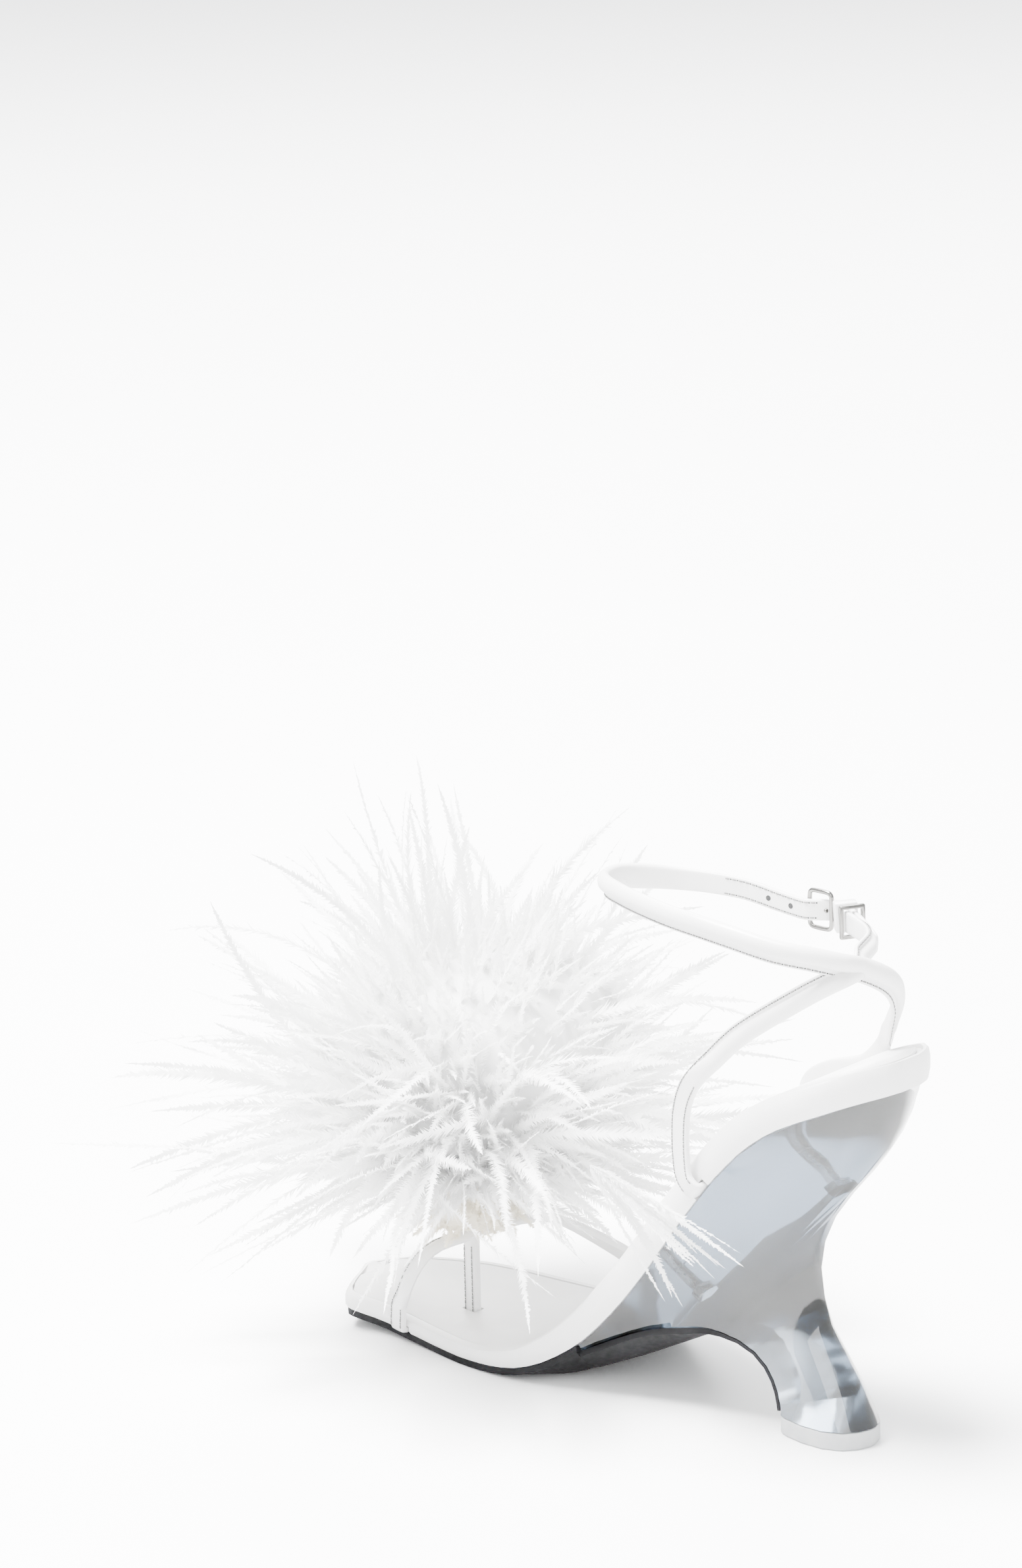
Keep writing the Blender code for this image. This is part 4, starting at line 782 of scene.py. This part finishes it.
def pompom():
    """Plumes from the base out to the solid's locks and skin, within reach of its box."""
    tips, root, low, high = lock_tips()
    middle = np.array([*((low + high) / 2)[:2], root[2] + HEART_HEIGHT])
    core(middle - np.array([0, 0, CORE_DROP]))
    chance = np.random.RandomState(5)
    found = surface_tips(SKIN_SPOTS, root, middle)
    skin = [tip for tip in found if tip[2] > root[2] + SKIN_FLOOR]
    lines = []
    for k in range(FRONDS_A_PIECE * PLUME_PIECES):
        start = root + np.array([*chance.normal(0, 5.0, 2), chance.uniform(-4, 8)])
        if k < LONG_FRONDS:
            tip = tips[k % len(tips)] if k % 3 else skin[chance.randint(len(skin))]
            share, spread, wave = chance.uniform(0.92, 1.13), 5.0, 0.11
        else:
            tip = skin[k % len(skin)]
            share, spread, wave = 1.03 - 0.13 * abs(chance.normal()), 4.0, 0.09
        end = root + (tip - root) * max(share, 0.6) + chance.normal(0, spread, 3)
        level = np.linalg.norm(end[:2] - root[:2]) / POMPOM_REACH
        end[2] -= level * (DROOP * chance.uniform(0, 1) ** 3 + 4 * chance.uniform(0, 1))
        end[2] = max(end[2], root[2] + 12 - 42 * max(level - 0.3, 0))
        end = np.minimum(np.maximum(end, low - FREE), high + FREE)
        reach = np.linalg.norm(end - root)
        lift = 0.50 + 0.22 * chance.uniform(-1, 1)
        sway = chance.normal(0, wave * reach, 3)
        lines.append(arc(start, end, lift, sway, FROND_STOPS, 0.30, chance.uniform(0.6, 2.6)))
    for k in range(PLUME_PIECES):
        fronds(f"plumes_{k + 1}", lines[k::PLUME_PIECES], PLUME, 20 + k)
    base_down(root, chance)


def base_down(root, chance):
    """The ivory down that stands off the pompom's base."""
    down = []
    for _ in range(DOWN_FRONDS):
        turn = chance.uniform(0, math.tau)
        way = np.array([math.cos(turn), math.sin(turn), 0.0])
        start = root + way * chance.uniform(5, 15) + np.array([0, 0, chance.uniform(-11, -1)])
        end = start + way * chance.uniform(1, 9) + np.array([0, 0, chance.uniform(-5, 13)])
        down.append(arc(start, end, 0.1, chance.normal(0, 1.6, 3), DOWN_STOPS))
    fronds("base_down", down, QUILL, 40, DOWN_WIDTH, DOWN_STOPS)


def loose_plume():
    """The wisp that hangs from the pompom in front of the heel."""
    chance = np.random.RandomState(9)
    root = np.array(LOOSE_ROOT)
    lines = []
    for tip in LOOSE_TIPS:
        for _ in range(LOOSE_COPIES):
            end = np.array(tip) + chance.normal(0, 1.2, 3)
            lines.append(arc(root, end, 0.1, chance.normal(0, 1.5, 3), LOOSE_STOPS))
    fronds("loose_plume", lines, PLUME, 60, LOOSE_WIDTH, LOOSE_STOPS)


# The stage

def stage():
    """A pale floor, soft studio light and the photo's camera."""
    half = FLOOR_HALF
    corners = [(-half, -half, 0), (half, -half, 0), (half, half, 0), (-half, half, 0)]
    mesh = mesh_of("floor", corners, [(0, 1, 2, 3)])
    floor = bpy.data.objects.new("floor", mesh)
    bpy.context.scene.collection.objects.link(floor)
    mat, shader = shader_of("pale_floor", (0.92, 0.92, 0.92), 0.75)
    low, high = (0.915, 0.915, 0.915), (0.925, 0.925, 0.925)
    vary(mat, noise(mat, 8, 2), low, high, shader.inputs["Base Color"])
    mesh.materials.append(mat)
    world = bpy.context.scene.world or bpy.data.worlds.new("studio")
    bpy.context.scene.world = world
    world.use_nodes = True
    sky = world.node_tree.nodes["Background"]
    sky.inputs["Color"].default_value = SKY_COLOUR
    sky.inputs["Strength"].default_value = SKY_STRENGTH
    for name, place, size, power in LIGHTS:
        light = bpy.data.lights.new(name, "AREA")
        light.shape = "SQUARE"
        light.size = size
        light.energy = power
        lamp = bpy.data.objects.new(name, light)
        lamp.location = place
        aim = Vector(LIGHTS_AIM) - Vector(place)
        lamp.rotation_euler = aim.to_track_quat("-Z", "Y").to_euler()
        bpy.context.scene.collection.objects.link(lamp)
    camera = bpy.data.objects.new("camera", bpy.data.cameras.new("camera"))
    camera.location = CAMERA_PLACE
    camera.rotation_euler = Euler([math.radians(a) for a in CAMERA_TURN], "XYZ")
    camera.data.lens = CAMERA_LENS
    camera.data.sensor_width = CAMERA_SENSOR
    camera.data.clip_end = CAMERA_REACH
    bpy.context.scene.collection.objects.link(camera)
    bpy.context.scene.camera = camera


def straps():
    """Smooth skins over the two ankle strands, and every strap's stitches and holes."""
    inner = frames(INNER_STRAND, FLAT_SIZE, INNER_ROLL_SIZE)
    outer = frames(OUTER_STRAND, FLAT_SIZE, OUTER_ROLL_SIZE)
    vamp = frames(VAMP_STRAP, VAMP_FLAT_SIZE, VAMP_ROLL_SIZE)
    strand = sweep("ankle_strap_inner", inner, STRAP_LEATHER)
    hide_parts("ankle_strap")
    sweep("ankle_strap_outer", outer, STRAP_LEATHER)
    # The stitch rows, each between two section numbers
    rows = [
        edge_row(inner, EDGE_LINE, 16, -4),
        edge_row(outer, EDGE_LINE, 16, -4),
        edge_row(inner, FOLD_LINE, 16, 48),
        edge_row(outer, FOLD_LINE, 16, 45),
        edge_row(outer, INNER_EDGE_LINE, 176, 202, 0.9, -1),
        edge_row(outer, INNER_FOLD_LINE, 176, 202, 0.9, -1),
        edge_row(vamp, EDGE_LINE, 14, -14),
        edge_row(vamp, FOLD_LINE, 14, 32),
    ]
    inwards = np.array([-1.0, 0.0, 0.0])
    for along in (-POST_ROW, POST_ROW):
        heights = np.linspace(*POST_HEIGHTS, POST_STOPS)
        rows.append([(np.array([POST_FACE, POST_PLACE + along, z]), inwards) for z in heights])
    rows = [row for row in rows if len(row) > 3]
    stitches("strap_stitches", rows)
    pinholes("stitch_holes_painted_shade", rows)
    holes("strap_holes_painted_shade", outer, PUNCHED_SECTIONS)


dressed("footbed", "footbed_leather", WHITE_LEATHER, 40)
dressed("sock_lining", "sock_sheet", SOCK_LEATHER, 40)
dressed("outsole", "outsole_leather", SOLE_LEATHER, 40)
dressed("heel", "heel_acrylic", ACRYLIC, 32)
dressed("heel_tread", "tread_plate", TREAD, 40, 0, 0.5)
dressed("heel_screw_front", "front_bolt", BOLT, 30, 0, 0.25)
dressed("heel_screw_rear", "rear_bolt", BOLT, 30, 0, 0.25)
dressed("vamp_strap", "vamp_strap_leather", STRAP_LEATHER, 50)
dressed("buckle_frame", "buckle_wire", STEEL, 60, 2)
dressed("buckle_prong", "prong_wire", STEEL, 60, 2)
dressed("strap_keeper", "keeper_leather", STRAP_LEATHER, 40, 0, 0.1)
dressed("keeper_ring", "ring_metal", STEEL, 40, 0, 0.1)
dressed("pompom_base", "base_knot", QUILL, 50)
straps()
pompom()
loose_plume()
stage()
